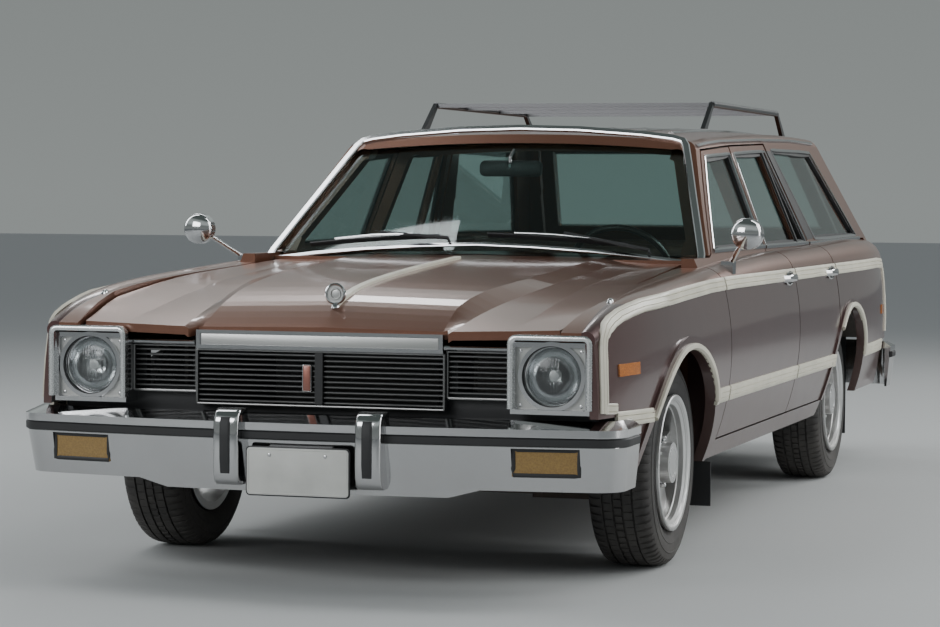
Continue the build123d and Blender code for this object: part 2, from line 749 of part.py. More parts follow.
# Turn lamps, let into the front bumper
with BuildPart() as turn_lamp:
    add(bumper_block(*front_bumper_line, 20, (lamp_pocket_z[0] + fit_gap, lamp_pocket_z[1] - fit_gap)))
    add(bumper_block(*front_bumper_line, pocket_floor - fit_gap, (0, 1000)), mode=Mode.SUBTRACT)
    add(box((lamp_pocket_x[0] + fit_gap, lamp_pocket_x[1] - fit_gap), (-2600, -2300), (0, 1000)), mode=Mode.INTERSECT)
finish_pair(turn_lamp.part, "turn_lamps")

# Guards on both bumpers: z and how far the face stands out
guard_x = 215
guard_width = 79
guard_reach = 2565
guard_profile = [(308, 26), (322, 8), (342, 0), (490, 0), (512, 10), (526, 34)]
with BuildPart() as guards:
    for turn in (-1, 1):
        face = [(turn * (guard_reach - back), z) for z, back in guard_profile]
        for x in (-guard_x, guard_x):
            add(side_prism([*face, (turn * 2482, guard_profile[-1][0]), (turn * 2482, guard_profile[0][0])],
                           x - guard_width / 2, x + guard_width / 2))
    add(front_bumper.part, mode=Mode.SUBTRACT)
    add(rear_bumper, mode=Mode.SUBTRACT)
finish(guards.part, "bumper_guards")

# Tailgate and its glass
gate_window = [(0, 1000), (600, 1000), (520, 1330), (0, 1335)]
with BuildPart() as gate_half:
    add(rear_prism(gate_outline))
    add(tail_slab.part, mode=Mode.INTERSECT)
    add(rear_prism(gate_window), mode=Mode.SUBTRACT)
    add(box((400, 450), (1860, 1884), (1360, roof_lip_z - fit_gap)))
finish_pair(gate_half.part, "tailgate")
with BuildPart() as gate_glass:
    add(rear_prism(gate_window))
    add(tail_limit.moved(Location((0, -14, 0))), mode=Mode.INTERSECT)
    add(tail_limit.moved(Location((0, -22, 0))), mode=Mode.SUBTRACT)
finish_pair(gate_glass.part, "tailgate_glass")
with BuildPart() as tail_lamp:
    add(box((tail_lamp_x[0] + fit_gap, tail_lamp_x[1] - fit_gap), (tail_y - 36 + fit_gap, tail_y + 4),
            (tail_lamp_z[0] + fit_gap, tail_lamp_z[1] - fit_gap)))
finish_pair(tail_lamp.part, "tail_lamps")

# Floor pans, split at the foot of the rear seat
floor_z = (300, 322)
floor_rear_y = 2372
cargo_z = (560, 582)
front_floor = [(-885, floor_z[0]), (560 - fit_gap, floor_z[0]), (548 - fit_gap, floor_z[1]), (-885, floor_z[1])]
cargo_floor = [(560, floor_z[0]), (690, cargo_z[0]), (floor_rear_y, cargo_z[0]), (floor_rear_y, cargo_z[1]),
               (680, cargo_z[1]), (548, floor_z[1])]
wheelhouse_radius = 352
wheelhouse_x = 600
wheelhouse_wall = 12
rear_rail_x = (470, 530)
front_rail_x = (400, 460)
rail_top_z = 400
tunnel_x = (150, 162)
tunnel_z = (458, 470)
tunnel_rear_y = 640
post_room_x = box((cabin_half_width, 900), (-1000, 1015), (0, 1000))
with BuildPart() as front_floor_half:
    add(side_prism(front_floor, 0, cabin_half_width))
    add(lower_body(skin + fit_gap), mode=Mode.INTERSECT)
    add(box((0, cabin_half_width), (-905, -885), (floor_z[0], 402)))
    add(box(front_rail_x, (-885, -800), (floor_z[0], rail_top_z)))
    add(box((0, tunnel_x[1]), (-885, tunnel_rear_y), (floor_z[0], tunnel_z[1])))
    add(box((0, tunnel_x[0]), (-910, tunnel_rear_y - 12), (290, tunnel_z[0])), mode=Mode.SUBTRACT)
    add(box((0, tunnel_x[0]), (600, tunnel_rear_y + 5), (290, 400)), mode=Mode.SUBTRACT)
finish_pair(front_floor_half.part, "underbody")
with BuildPart() as cargo_floor_half:
    add(side_prism(cargo_floor, 0, 900))
    add(post_room_x, mode=Mode.SUBTRACT)
    add(side_disc(rear_axle_y, axle_z, wheelhouse_radius + wheelhouse_wall + fit_gap, wheelhouse_x - fit_gap, 1000),
        mode=Mode.SUBTRACT)
    add(lower_body(skin + fit_gap), mode=Mode.INTERSECT)
    add(box((0, tunnel_x[1] + fit_gap), (500, tunnel_rear_y + fit_gap), (290, tunnel_z[1] + fit_gap)), mode=Mode.SUBTRACT)
finish_pair(cargo_floor_half.part, "cargo_floor")

# Wheelhouses at the rear and inner panels beside the engine
apron_x = (444, 456)
apron_y = (-2290, -935)
apron_top_z = 700
with BuildPart() as wheelhouse:
    add(side_disc(rear_axle_y, axle_z, wheelhouse_radius + wheelhouse_wall, wheelhouse_x, 900))
    add(side_disc(rear_axle_y, axle_z, wheelhouse_radius, wheelhouse_x + wheelhouse_wall, 900), mode=Mode.SUBTRACT)
    add(box((0, 1000), (0, 2400), (cargo_z[0], 1000)), mode=Mode.INTERSECT)
    add(lower_body(skin + fit_gap), mode=Mode.INTERSECT)
    add(box(apron_x, apron_y, (rail_top_z + fit_gap, apron_top_z)))
    add(box((apron_x[0], kingpin_x), apron_y, (apron_top_z - 12, apron_top_z)))
finish_pair(wheelhouse.part, "wheelhouses")

# Rails: the front pair with its cross piece, the rear pair with the tail cross piece, and bumper arms
with BuildPart() as rails:
    add(box(front_rail_x, (-2300, -905 - fit_gap), (floor_z[0], rail_top_z)))
    add(box((0, front_rail_x[1]), (-2300, -2250), (330, rail_top_z)))
    add(box(front_rail_x, (-2520, -2300), (372, 422)))
    add(front_bumper.part, mode=Mode.SUBTRACT)
    add(box((0, 1000), (-3000, -2482), (0, 600)), mode=Mode.SUBTRACT)
    add(box(rear_rail_x, (690, floor_rear_y), (470, cargo_z[0] - fit_gap)))
    add(box(rear_rail_x, (640, 690), (hanger_z, 480)))
    add(box(rear_rail_x, (1925, 1975), (hanger_z, 480)))
    add(box((0, tailgate_half_width), (2300, floor_rear_y), (530, cargo_z[0] - fit_gap)))
    add(box((0, tailgate_half_width), (2300, 2425), (530, tailgate_bottom_z - shut_gap)))
    add(box((0, tailgate_half_width), (2395, 2425), (345, 535)))
    add(box((480, 520), (2395, 2520), (385, 425)))
    add(rear_bumper, mode=Mode.SUBTRACT)
    add(box((0, 1000), (2480, 3000), (0, 600)), mode=Mode.SUBTRACT)
    add(cargo_floor_half.part, mode=Mode.SUBTRACT)
    add(cargo_floor_half.part.moved(Location((0, 0, -fit_gap))), mode=Mode.SUBTRACT)
finish_pair(rails.part, "frame_rails")

# Engine with its gearbox, as one plain block
with BuildPart() as engine:
    add(box((-260, 260), (-2050, -1150), (floor_z[0], 770)))
    add(box((-100, 100), (-1150, -320), (262, 430)))
finish(engine.part, "engine_block")

# Front crossmember with its control arms
arm_y = (front_axle_y - 34, front_axle_y + 34)
with BuildPart() as crossmember_half:
    add(box((0, front_rail_x[1]), (front_axle_y - 70, front_axle_y + 70), (215, floor_z[0] - fit_gap)))
    add(box((420, kingpin_x), arm_y, (200, 225)))
    add(box((front_rail_x[1] + fit_gap, 520), (front_axle_y - 60, front_axle_y + 60), (215, 452)))
    add(box((420, 520), (front_axle_y - 60, front_axle_y + 60), (215, 250)))
    add(box((500, kingpin_x), arm_y, (432, 452)))
    with BuildSketch(Plane.XY.offset(150)):
        with Locations((kingpin_x, front_axle_y)):
            Circle(12)
    extrude(amount=400, mode=Mode.SUBTRACT)
finish_pair(crossmember_half.part, "front_crossmember")

# Steering knuckles
bearing_radius = 25
with BuildPart() as knuckle:
    with BuildSketch(Plane.XY.offset(196)):
        with Locations((kingpin_x, front_axle_y)):
            Circle(11.9)
    extrude(amount=262)
    add(box((kingpin_x - 20, kingpin_x + 24), (front_axle_y - 24, front_axle_y + 24), (228, 429)))
    with BuildSketch(Plane.YZ.offset(kingpin_x + 10)):
        with Locations((front_axle_y, axle_z)):
            Circle(bearing_radius - 0.08)
    extrude(amount=98)
finish_sides(knuckle.part, "knuckle")

# Rear axle
with BuildPart() as axle_half:
    with BuildSketch(Plane.YZ):
        with Locations((rear_axle_y, axle_z)):
            Circle(38)
    extrude(amount=680)
    with BuildSketch(Plane.YZ):
        with Locations((rear_axle_y, axle_z)):
            Circle(135)
    extrude(amount=95)
    with BuildSketch(Plane.YZ.offset(670)):
        with Locations((rear_axle_y, axle_z)):
            Circle(bearing_radius - 0.08)
    extrude(amount=118)
    add(box((465, 535), (rear_axle_y - 45, rear_axle_y + 45), (spring_top_z, axle_z - 20)))
finish_pair(axle_half.part, "rear_axle")

# Leaf springs
spring_y = (rear_axle_y - 645, rear_axle_y + 645)
with BuildPart() as spring:
    with BuildSketch(Plane.YZ.offset(470)):
        with BuildLine():
            low = ThreePointArc((spring_y[0], hanger_z - 29), (rear_axle_y, spring_top_z - 28), (spring_y[1], hanger_z - 29))
            high = ThreePointArc((spring_y[0], hanger_z - fit_gap), (rear_axle_y, spring_top_z - 0.6),
                                 (spring_y[1], hanger_z - fit_gap))
            Line(low @ 0, high @ 0)
            Line(low @ 1, high @ 1)
        make_face()
    extrude(amount=60)
finish_pair(spring.part, "leaf_springs")

# Drive shaft
with BuildPart() as shaft:
    with BuildSketch(Plane.XZ.offset(320 - fit_gap)):
        with Locations((0, 340)):
            Circle(36)
    extrude(amount=-(rear_axle_y - 135 + 320 - 2 * fit_gap))
finish(shaft.part, "drive_shaft")

# Exhaust
with BuildPart() as exhaust:
    with BuildLine() as pipe_line:
        FilletPolyline((215, -1180, 270), (215, 900, 255), (330, 1080, 440), (330, 1500, 440), (430, 1760, 400),
                       (430, 2380, 340), radius=110)
    with BuildSketch(Plane.XZ.offset(1180)):
        with Locations((215, 270)):
            Circle(24)
    sweep(path=pipe_line.line)
    with BuildSketch(Plane.XZ.offset(-250)):
        with Locations((215, 235)):
            Ellipse(110, 62)
    extrude(amount=-480)
    add(box((205, 225), (-300, -270), (260, floor_z[0] - fit_gap)))
    add(box((425, 485), (2200, 2225), (346, 362)))
    add(box((472, 485), (2200, 2225), (346, 470 - fit_gap)))
finish(exhaust.part, "exhaust")

# Fuel tank
with BuildPart() as tank:
    add(box((-430, 370), (1700, 2200), (345, cargo_z[0] - fit_gap)))
finish(tank.part, "fuel_tank")

# Seats
with BuildPart() as front_seat:
    add(side_prism([(-420, floor_z[1] + fit_gap), (80, floor_z[1] + fit_gap), (140, 560), (200, 940), (130, 975),
                    (70, 600), (-400, 590), (-430, 480)], -690, 690))
    add(box((-170, 170), (-500, 470), (0, 480)), mode=Mode.SUBTRACT)
finish(front_seat.part, "front_seat")
with BuildPart() as rear_seat:
    add(side_prism([(440, floor_z[1] + fit_gap), (540, floor_z[1] + fit_gap), (672, cargo_z[1] + fit_gap),
                    (930, cargo_z[1] + fit_gap), (1010, 960), (930, 985), (850, 625), (430, 620), (420, 500)], -590, 590))
    add(box((-170, 170), (400, 660), (0, 480)), mode=Mode.SUBTRACT)
finish(rear_seat.part, "rear_seat")

# Dashboard with the steering column
wheel_centre = (370, -320, 858)
column_dir = (0, 0.906, 0.423)
with BuildPart() as dashboard:
    add(side_prism([(-835 + fit_gap, 640), (-640, 640), (-560, 700), (-570, 880), (-640, 905), (-698, 870),
                    (-835 + fit_gap, 850)], -735, 735))
    with BuildSketch(Plane(origin=wheel_centre, x_dir=(1, 0, 0), z_dir=column_dir)):
        Circle(24)
    extrude(amount=-320)
    with BuildSketch(Plane(origin=wheel_centre, x_dir=(1, 0, 0), z_dir=column_dir)):
        Circle(60)
    extrude(amount=-30, mode=Mode.SUBTRACT)
finish(dashboard.part, "dashboard")
with BuildPart() as steering_wheel:
    with BuildSketch(Plane.XZ):
        with Locations((186, 0)):
            Circle(11)
    revolve(axis=Axis.Z)
    with Locations((0, 0, -8.4)):
        Cylinder(38, 42.8)
    with Locations((0, 0, 0)):
        Box(360, 40, 12)
finish(steering_wheel.part.moved(Plane(origin=wheel_centre, x_dir=(1, 0, 0), z_dir=column_dir).location), "steering_wheel")

# Wheels
def rim(centre_x, centre_y):
    """Spoked wheel with a barrel, five spokes and a hub."""
    with BuildPart() as wheel:
        with BuildSketch(Plane.XZ):
            with BuildLine():
                Polyline((-92, 180), (-92, rim_radius - 2), (-86, rim_radius - 2), (-84, rim_bead_radius), (84, rim_bead_radius),
                         (86, rim_radius), (96, rim_radius), (96, 196), (88, 180), close=True)
            make_face()
        revolve(axis=Axis.X)
        with BuildSketch(Plane.YZ.offset(22)):
            with PolarLocations(0, 5, start_angle=90):
                with Locations((118, 0)):
                    Rectangle(136, 58)
            Circle(88)
            Circle(bearing_radius, mode=Mode.SUBTRACT)
        extrude(amount=26)
        with BuildSketch(Plane.YZ.offset(48)):
            Circle(hub_radius)
        extrude(amount=50)
    return wheel.part.moved(Location((centre_x, centre_y, axle_z)))


def tyre(centre_x, centre_y):
    """Plain tyre; its width and radius are the real ones."""
    with BuildPart() as ring:
        with BuildSketch(Plane.XZ):
            with BuildLine():
                Polyline((-84, rim_bead_radius + 0.2), (-84, rim_radius - 1), (-96, rim_radius - 1), (-97, 215), (-100, 255),
                         (-94, 296), (-78, tyre_radius),
                         (78, tyre_radius), (94, 296), (100, 255), (98, 222), (97, 208), (84, 208), (84, rim_bead_radius + 0.2),
                         close=True)
            make_face()
        revolve(axis=Axis.X)
    return ring.part.moved(Location((centre_x, centre_y, axle_z)))


for name, centre_y, half_track in (("front", front_axle_y, front_track / 2), ("rear", rear_axle_y, rear_track / 2)):
    finish_sides(rim(half_track, centre_y), f"rim_{name}")
    finish_sides(tyre(half_track, centre_y), f"tyre_{name}")

# Roof rack
rack_x = 545
rack_z = 1485
with BuildPart() as rack_half:
    with BuildSketch(Plane.XZ.offset(-335)):
        with Locations((rack_x, rack_z)):
            Circle(12)
    extrude(amount=-1220)
    for foot_y, head_y in ((205, 345), (1690, 1545)):
        add(side_prism([(foot_y - 22, 1390), (foot_y + 30, 1390), (head_y + 12, rack_z + 8), (head_y - 14, rack_z + 8)],
                       rack_x - 8, rack_x + 8))
    for bar_y in (345, 700, 1150, 1545):
        add(box((0, rack_x), (bar_y - 10, bar_y + 10), (rack_z - 8, rack_z + 6)))
    add(house_outer, mode=Mode.SUBTRACT)
finish_pair(rack_half.part, "roof_rack")

# Mirrors on the front doors
with BuildPart() as mirror_left:
    with BuildSketch(Plane.XZ.offset(1005)):
        with Locations((965, 1018)):
            Circle(52)
    extrude(amount=-32)
    add(box((845, 885), (-840, -790), (870, 925)))
    with BuildSketch(Plane(origin=(870, -812, 915), x_dir=(1, 0, 0), z_dir=(88, -170, 96))):
        Circle(8)
    extrude(amount=215)
    add(body_outer, mode=Mode.SUBTRACT)
finish_sides(mirror_left.part, "mirror")

# Markers on the sides
with BuildPart() as marker:
    add(lower_body(-4))
    add(body_outer, mode=Mode.SUBTRACT)
    with BuildPart(mode=Mode.PRIVATE) as marker_area:
        add(box((600, 1000), (-2300, -2150), (630, 665)))
        add(box((600, 1000), (2130, 2250), (635, 675)))
    add(marker_area.part, mode=Mode.INTERSECT)
finish_pair(marker.part, "side_markers")

# Mud flaps
with BuildPart() as flaps:
    add(box((790, 880), (-1126, -1120 - fit_gap), (140, 284)))
    add(box((790, 812), (-1126, -1120 - fit_gap), (140, 340)))
    add(box((700, 830), (1664, 1670), (150, cargo_z[0] - fit_gap)))
finish_pair(flaps.part, "mud_flaps")
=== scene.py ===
# %% [markdown]
# # A family station wagon, dressed for its portrait
#
# The body, doors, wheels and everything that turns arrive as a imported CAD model, the frame.
# This file never moves that model.  It gives each panel its finish, and builds what the
# solids leave out: cream mouldings, bright trim, grille edges, tyre tread, pads and roof slats.
#
# The whole wagon is in metres, +X is its left side, its nose points along -Y and the road is
# at z = 0.

# %%  Open the frame
import bpy
import bmesh
from math import asin, atan2, cos, degrees, exp, hypot, pi, radians, sin
from mathutils import Matrix, Vector
from mathutils.bvhtree import BVHTree


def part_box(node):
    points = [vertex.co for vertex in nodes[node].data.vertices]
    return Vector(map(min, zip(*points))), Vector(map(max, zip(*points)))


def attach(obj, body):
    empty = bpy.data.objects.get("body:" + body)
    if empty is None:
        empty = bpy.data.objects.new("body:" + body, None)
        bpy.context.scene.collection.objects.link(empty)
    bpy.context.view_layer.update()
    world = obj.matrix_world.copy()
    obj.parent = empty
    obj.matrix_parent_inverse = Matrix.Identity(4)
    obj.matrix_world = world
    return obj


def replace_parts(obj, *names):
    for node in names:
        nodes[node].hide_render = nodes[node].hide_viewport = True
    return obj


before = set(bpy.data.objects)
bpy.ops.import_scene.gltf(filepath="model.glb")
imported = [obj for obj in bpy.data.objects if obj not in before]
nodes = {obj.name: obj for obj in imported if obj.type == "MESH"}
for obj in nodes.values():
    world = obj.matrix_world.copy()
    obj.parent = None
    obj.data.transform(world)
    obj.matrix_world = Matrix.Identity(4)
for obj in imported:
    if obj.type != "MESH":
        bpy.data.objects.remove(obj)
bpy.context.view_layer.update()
link_object = bpy.context.scene.collection.objects.link

# %% [markdown]
# ## Camera first
#
# A portrait only matches when the camera stands where the photographer stood.  The place and
# the angles below were worked out from the wheels and the door lines of the picture, so the
# camera is written as a position, three angles and one long focal length.  A long lens keeps
# the nose from looking swollen, which a short lens close to a car always does.

# %%  Camera
YAW, PITCH, ROLL = (radians(a) for a in (17.6142, 2.4509, 0.3249))
CAMERA_PLACE = (2.8279, -9.837, 1.139)
SENSOR_WIDTH = 36.0
FOCAL_PIXELS = 2762.87
FRAME_PIXELS = 940
forward = Vector((-sin(YAW) * cos(PITCH), cos(YAW) * cos(PITCH), -sin(PITCH)))
level_right = Vector((cos(YAW), sin(YAW), 0.0))
level_up = level_right.cross(forward)
right = level_right * cos(ROLL) + level_up * sin(ROLL)
up = level_up * cos(ROLL) - level_right * sin(ROLL)
camera = bpy.data.objects.new("camera", bpy.data.cameras.new("camera"))
camera.data.sensor_width = SENSOR_WIDTH
camera.data.lens = FOCAL_PIXELS / FRAME_PIXELS * SENSOR_WIDTH
camera.data.clip_end = 200.0
camera.matrix_world = Matrix((
    (right.x, up.x, -forward.x, CAMERA_PLACE[0]),
    (right.y, up.y, -forward.y, CAMERA_PLACE[1]),
    (right.z, up.z, -forward.z, CAMERA_PLACE[2]),
    (0, 0, 0, 1)))
link_object(camera)
bpy.context.scene.camera = camera
print("camera lens:", round(camera.data.lens, 1), "mm")

# %% [markdown]
# ## Helpers for making pieces
#
# Almost every trim piece on a car body lies on the sheet metal and follows it.  `side_x` and
# `top_z` send a ray from the side or from above onto the CAD panels and return where it hits.
# `sweep` runs a small cross-section along a row of such points.  `from_faces` turns lists of
# points and faces into an object with smooth shading that still keeps the creases sharp.

# %%  Mesh helpers
LEFT, UP, AHEAD, ASTERN = (Vector(v) for v in ((1, 0, 0), (0, 0, 1), (0, -1, 0), (0, 1, 0)))
RIGHT = -LEFT
SIDES = (("left", 1), ("right", -1))


def keep_mesh(name, mesh, material, body="body", crease=35.0):
    """Make an object from a mesh, shade it smooth up to a crease angle and let it ride."""
    shape = bmesh.new()
    shape.from_mesh(mesh)
    bmesh.ops.remove_doubles(shape, verts=shape.verts, dist=1e-6)
    bmesh.ops.recalc_face_normals(shape, faces=shape.faces)
    limit = radians(crease)
    for edge in shape.edges:
        edge.smooth = not (len(edge.link_faces) == 2 and edge.calc_face_angle(0.0) > limit)
    for face in shape.faces:
        face.smooth = True
    shape.to_mesh(mesh)
    shape.free()
    piece = bpy.data.objects.new(name, mesh)
    link_object(piece)
    if material is not None:
        mesh.materials.clear()
        mesh.materials.append(material)
    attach(piece, body)
    return piece


def from_faces(name, points, faces, material, body="body", crease=35.0):
    """Object from a list of points and a list of faces."""
    mesh = bpy.data.meshes.new(name)
    mesh.from_pydata([tuple(p) for p in points], [], faces)
    return keep_mesh(name, mesh, material, body, crease)


def part_of(mesh):
    """The points and faces of a mesh."""
    return [v.co.copy() for v in mesh.vertices], [list(p.vertices) for p in mesh.polygons]


def mirrored(points):
    """The same points on the other side of the car."""
    return [Vector((-p[0], p[1], p[2])) for p in points]


def on_hand(points, side):
    """Points of the left side, moved to the side asked for."""
    return points if side > 0 else mirrored(points)


# %% [markdown]
# ### Standing on the metal
#
# The ray casts read the CAD meshes as one tree per group of panels.  A ray that misses
# returns nothing, so the caller can stop a trim piece where the panel ends.

# %%  Surface finder
def panel_tree(names):
    """One search tree for several CAD nodes."""
    points, faces = [], []
    for name in names:
        mesh = nodes[name].data
        start = len(points)
        points += [nodes[name].matrix_world @ v.co for v in mesh.vertices]
        faces += [[start + i for i in p.vertices] for p in mesh.polygons]
    return BVHTree.FromPolygons(points, faces)


SIDE_PANELS = ("front_fenders", "body_sides", "quarter_panels", "door_front_left", "door_rear_left")
side_tree = panel_tree(SIDE_PANELS)
top_tree = panel_tree(("hood", "cowl_panel", "front_fenders", "roof_panel", "body_sides", "quarter_panels"))


def side_x(y, z):
    """How far out the left body side is at a point of the side view."""
    hit = side_tree.ray_cast(Vector((1.5, y, z)), RIGHT)
    return hit[0].x if hit[0] else None


def top_z(x, y):
    """How high the body is at a point of the plan view."""
    hit = top_tree.ray_cast(Vector((x, y, 3.0)), -UP)
    return hit[0].z if hit[0] else None


print("body side at the front door:", round(side_x(-0.4, 0.7), 3))


# %%  Sweeping a section along a path
def frames_along(path, outward):
    """At each point of a path, the travel direction and two directions across it."""
    result = []
    for i, point in enumerate(path):
        before = path[max(i - 1, 0)]
        after = path[min(i + 1, len(path) - 1)]
        along = (Vector(after) - Vector(before)).normalized()
        out = Vector(outward[i] if isinstance(outward, list) else outward)
        out = (out - along * out.dot(along)).normalized()
        result.append((Vector(point), out, along.cross(out)))
    return result


def sweep(name, path, outward, section, material, body="body", closed=False, crease=35.0, both=False):
    """Sweep a closed section, given as (out, across) pairs, along a path."""
    sides = [1, -1] if both else [1]
    points, faces = [], []
    count = len(section)
    for side in sides:
        start = len(points)
        for place, out, across in frames_along(path, outward):
            for a, b in section:
                p = place + out * a + across * b
                points.append(Vector((p.x * side, p.y, p.z)))
        rings = len(path)
        last = rings if closed else rings - 1
        for i in range(last):
            a, b = start + i * count, start + ((i + 1) % rings) * count
            for k in range(count):
                n = (k + 1) % count
                faces.append([a + k, a + n, b + n, b + k])
        if not closed:
            faces.append([start + k for k in range(count)])
            faces.append([start + (rings - 1) * count + k for k in range(count)][::-1])
    return from_faces(name, points, faces, material, body, crease)


def round_section(radius, count=10):
    """A circle as a section."""
    return [(radius * cos(2 * pi * k / count), radius * sin(2 * pi * k / count))
            for k in range(count)]


def flat_section(width, height, edge=0.2):
    """A low rectangular section with its outer corners taken off."""
    half, cut = width / 2, min(width, height) * edge
    return [(-height * 0.5, -half), (height - cut, -half), (height, -half + cut), (height, half - cut),
            (height - cut, half), (-height * 0.5, half)]


def between(a, b, steps):
    """Points evenly spread from a to b."""
    a, b = Vector(a), Vector(b)
    return [a.lerp(b, i / steps) for i in range(steps + 1)]

# %% [markdown]
# ## A plain studio
#
# The wagon stands on a plain pale floor in front of a plain grey backdrop.  Soft area lamps
# stand high on all sides, because car paint and chrome show their shape by the
# long highlights that such lamps leave.  The backdrop grows brighter and then darker with
# height, so that polished metal mirrors a light band between two darker ones.

# %%  Floor
def put(node, **values):
    """Set plain values on a node's own sockets."""
    for label, value in values.items():
        node.inputs[label.replace("_", " ")].default_value = value


def plain_material(name, colour, roughness=0.6):
    """A simple surface for the stage."""
    material = bpy.data.materials.new(name)
    material.use_nodes = True
    shader = material.node_tree.nodes["Principled BSDF"]
    put(shader, Base_Color=(*colour, 1), Roughness=roughness)
    return material


floor_mesh = bpy.data.meshes.new("studio_floor")
floor_mesh.from_pydata([(-60, -60, 0), (60, -60, 0), (60, 60, 0), (-60, 60, 0)], [], [(0, 1, 2, 3)])
floor = bpy.data.objects.new("studio_floor", floor_mesh)
link_object(floor)
floor_mesh.materials.append(plain_material("studio_floor_paint", (0.50, 0.51, 0.50), 0.8))
print("floor laid")


# %%  Backdrop
world = bpy.context.scene.world or bpy.data.worlds.new("studio_world")
bpy.context.scene.world = world
world.use_nodes = True
tree = world.node_tree
tree.nodes.clear()
add, link = tree.nodes.new, tree.links.new
sky_fill = add("ShaderNodeBackground")
put(sky_fill, Color=(0.80, 0.86, 0.92, 1), Strength=0.34)
sky_seen = add("ShaderNodeBackground")
sky_place = add("ShaderNodeTexCoord")
sky_axes = add("ShaderNodeSeparateXYZ")
link(sky_place.outputs["Generated"], sky_axes.inputs[0])
sky_bands = add("ShaderNodeValToRGB")
link(sky_axes.outputs["Z"], sky_bands.inputs["Fac"])
BANDS = [(0.0, (0.27, 0.29, 0.285)), (0.20, (0.19, 0.21, 0.205)), (0.36, (0.50, 0.55, 0.54)),
         (0.58, (0.42, 0.46, 0.45)), (0.74, (0.10, 0.12, 0.115))]
ramp = sky_bands.color_ramp.elements
while len(ramp) < len(BANDS):
    ramp.new(0.5)
for element, (spot, colour) in zip(ramp, BANDS):
    element.position = spot
    element.color = (*colour, 1)
link(sky_bands.outputs["Color"], sky_seen.inputs["Color"])
put(sky_seen, Strength=1.0)
light_path = add("ShaderNodeLightPath")
seen = add("ShaderNodeMath")
seen.operation = "MAXIMUM"
link(light_path.outputs["Is Camera Ray"], seen.inputs[0])
link(light_path.outputs["Is Transmission Ray"], seen.inputs[1])
seen_or_glossy = add("ShaderNodeMath")
seen_or_glossy.operation = "MAXIMUM"
link(seen.outputs[0], seen_or_glossy.inputs[0])
link(light_path.outputs["Is Glossy Ray"], seen_or_glossy.inputs[1])
mix_sky = add("ShaderNodeMixShader")
link(seen_or_glossy.outputs[0], mix_sky.inputs["Fac"])
link(sky_fill.outputs[0], mix_sky.inputs[1])
link(sky_seen.outputs[0], mix_sky.inputs[2])
world_out = add("ShaderNodeOutputWorld")
link(mix_sky.outputs[0], world_out.inputs["Surface"])


# %%  Lamps
def area_lamp(name, place, target, size, power, colour=(1, 1, 1)):
    """A rectangular soft lamp aimed at a point."""
    data = bpy.data.lights.new(name, "AREA")
    data.shape = "RECTANGLE"
    data.size, data.size_y = size
    data.energy = power
    data.color = colour
    lamp = bpy.data.objects.new(name, data)
    lamp.location = place
    lamp.rotation_euler = (Vector(target) - Vector(place)).to_track_quat("-Z", "Y").to_euler()
    link_object(lamp)


area_lamp("roof_strip_left", (5.0, 0.5, 5.2), (0, 0, 0.6), (1.5, 8.0), 230, (0.95, 0.98, 1.0))
area_lamp("roof_strip_right", (-5.2, 0.0, 5.0), (0, 0, 0.6), (1.6, 8.0), 210, (0.95, 0.98, 1.0))
area_lamp("nose_softbox", (-3.5, -8.5, 3.6), (0, -1.5, 0.6), (5.0, 2.6), 230, (0.96, 0.98, 1.0))
area_lamp("left_softbox", (8.0, -2.0, 3.2), (0, 0, 0.6), (2.4, 8.0), 220)
area_lamp("tail_softbox", (5.0, 7.5, 5.0), (0, 0, 0.8), (4.0, 2.0), 250)
area_lamp("hood_glow", (-4.5, 7.5, 6.8), (0, 0, 0.8), (3.0, 1.0), 80)

# %% [markdown]
# ## Finishes
#
# Two effects come back in many of the materials, so each is a shader node group: `road_grime`
# gives a mask that is strong low down on the car and breaks up into patches, and `fine_grain`
# gives a bump-ready pattern for cast, moulded and leather-like skins.  The groups put out
# masks and values only.  The shaders stay in each material.

# %%  Group helpers
def new_group(name, inputs, outputs):
    """An empty shader group with named sockets."""
    group = bpy.data.node_groups.new(name, "ShaderNodeTree")
    for label, kind, value in inputs:
        socket = group.interface.new_socket(label, in_out="INPUT", socket_type=kind)
        if value is not None:
            socket.default_value = value
    for label, kind in outputs:
        group.interface.new_socket(label, in_out="OUTPUT", socket_type=kind)
    return group, group.nodes.new("NodeGroupInput"), group.nodes.new("NodeGroupOutput")


def math_node(tree, operation, a, b=None, clamp=False):
    """A math node whose inputs are sockets or numbers."""
    node = tree.nodes.new("ShaderNodeMath")
    node.operation = operation
    node.use_clamp = clamp
    for index, value in enumerate((a, b)):
        if value is None:
            continue
        if isinstance(value, (int, float)):
            node.inputs[index].default_value = value
        else:
            tree.links.new(value, node.inputs[index])
    return node.outputs[0]
print("group helpers ready")


# %%  Road grime
grime, g_in, g_out = new_group(
    "road_grime",
    [("Position", "NodeSocketVector", None), ("Top", "NodeSocketFloat", 0.6),
     ("Patch Size", "NodeSocketFloat", 6.0)],
    [("Mask", "NodeSocketFloat")])
split = grime.nodes.new("ShaderNodeSeparateXYZ")
grime.links.new(g_in.outputs["Position"], split.inputs[0])
height = math_node(grime, "DIVIDE", split.outputs["Z"], g_in.outputs["Top"])
low = math_node(grime, "SUBTRACT", 1.0, height, clamp=True)
patches = grime.nodes.new("ShaderNodeTexNoise")
put(patches, Detail=6.0, Roughness=0.62)
grime.links.new(g_in.outputs["Position"], patches.inputs["Vector"])
grime.links.new(g_in.outputs["Patch Size"], patches.inputs["Scale"])
lifted = math_node(grime, "POWER", low, 1.6)
broken = math_node(grime, "MULTIPLY", lifted, patches.outputs["Fac"])
mask = math_node(grime, "MULTIPLY", broken, 2.0, clamp=True)
grime.links.new(mask, g_out.inputs["Mask"])
print("grime group made")


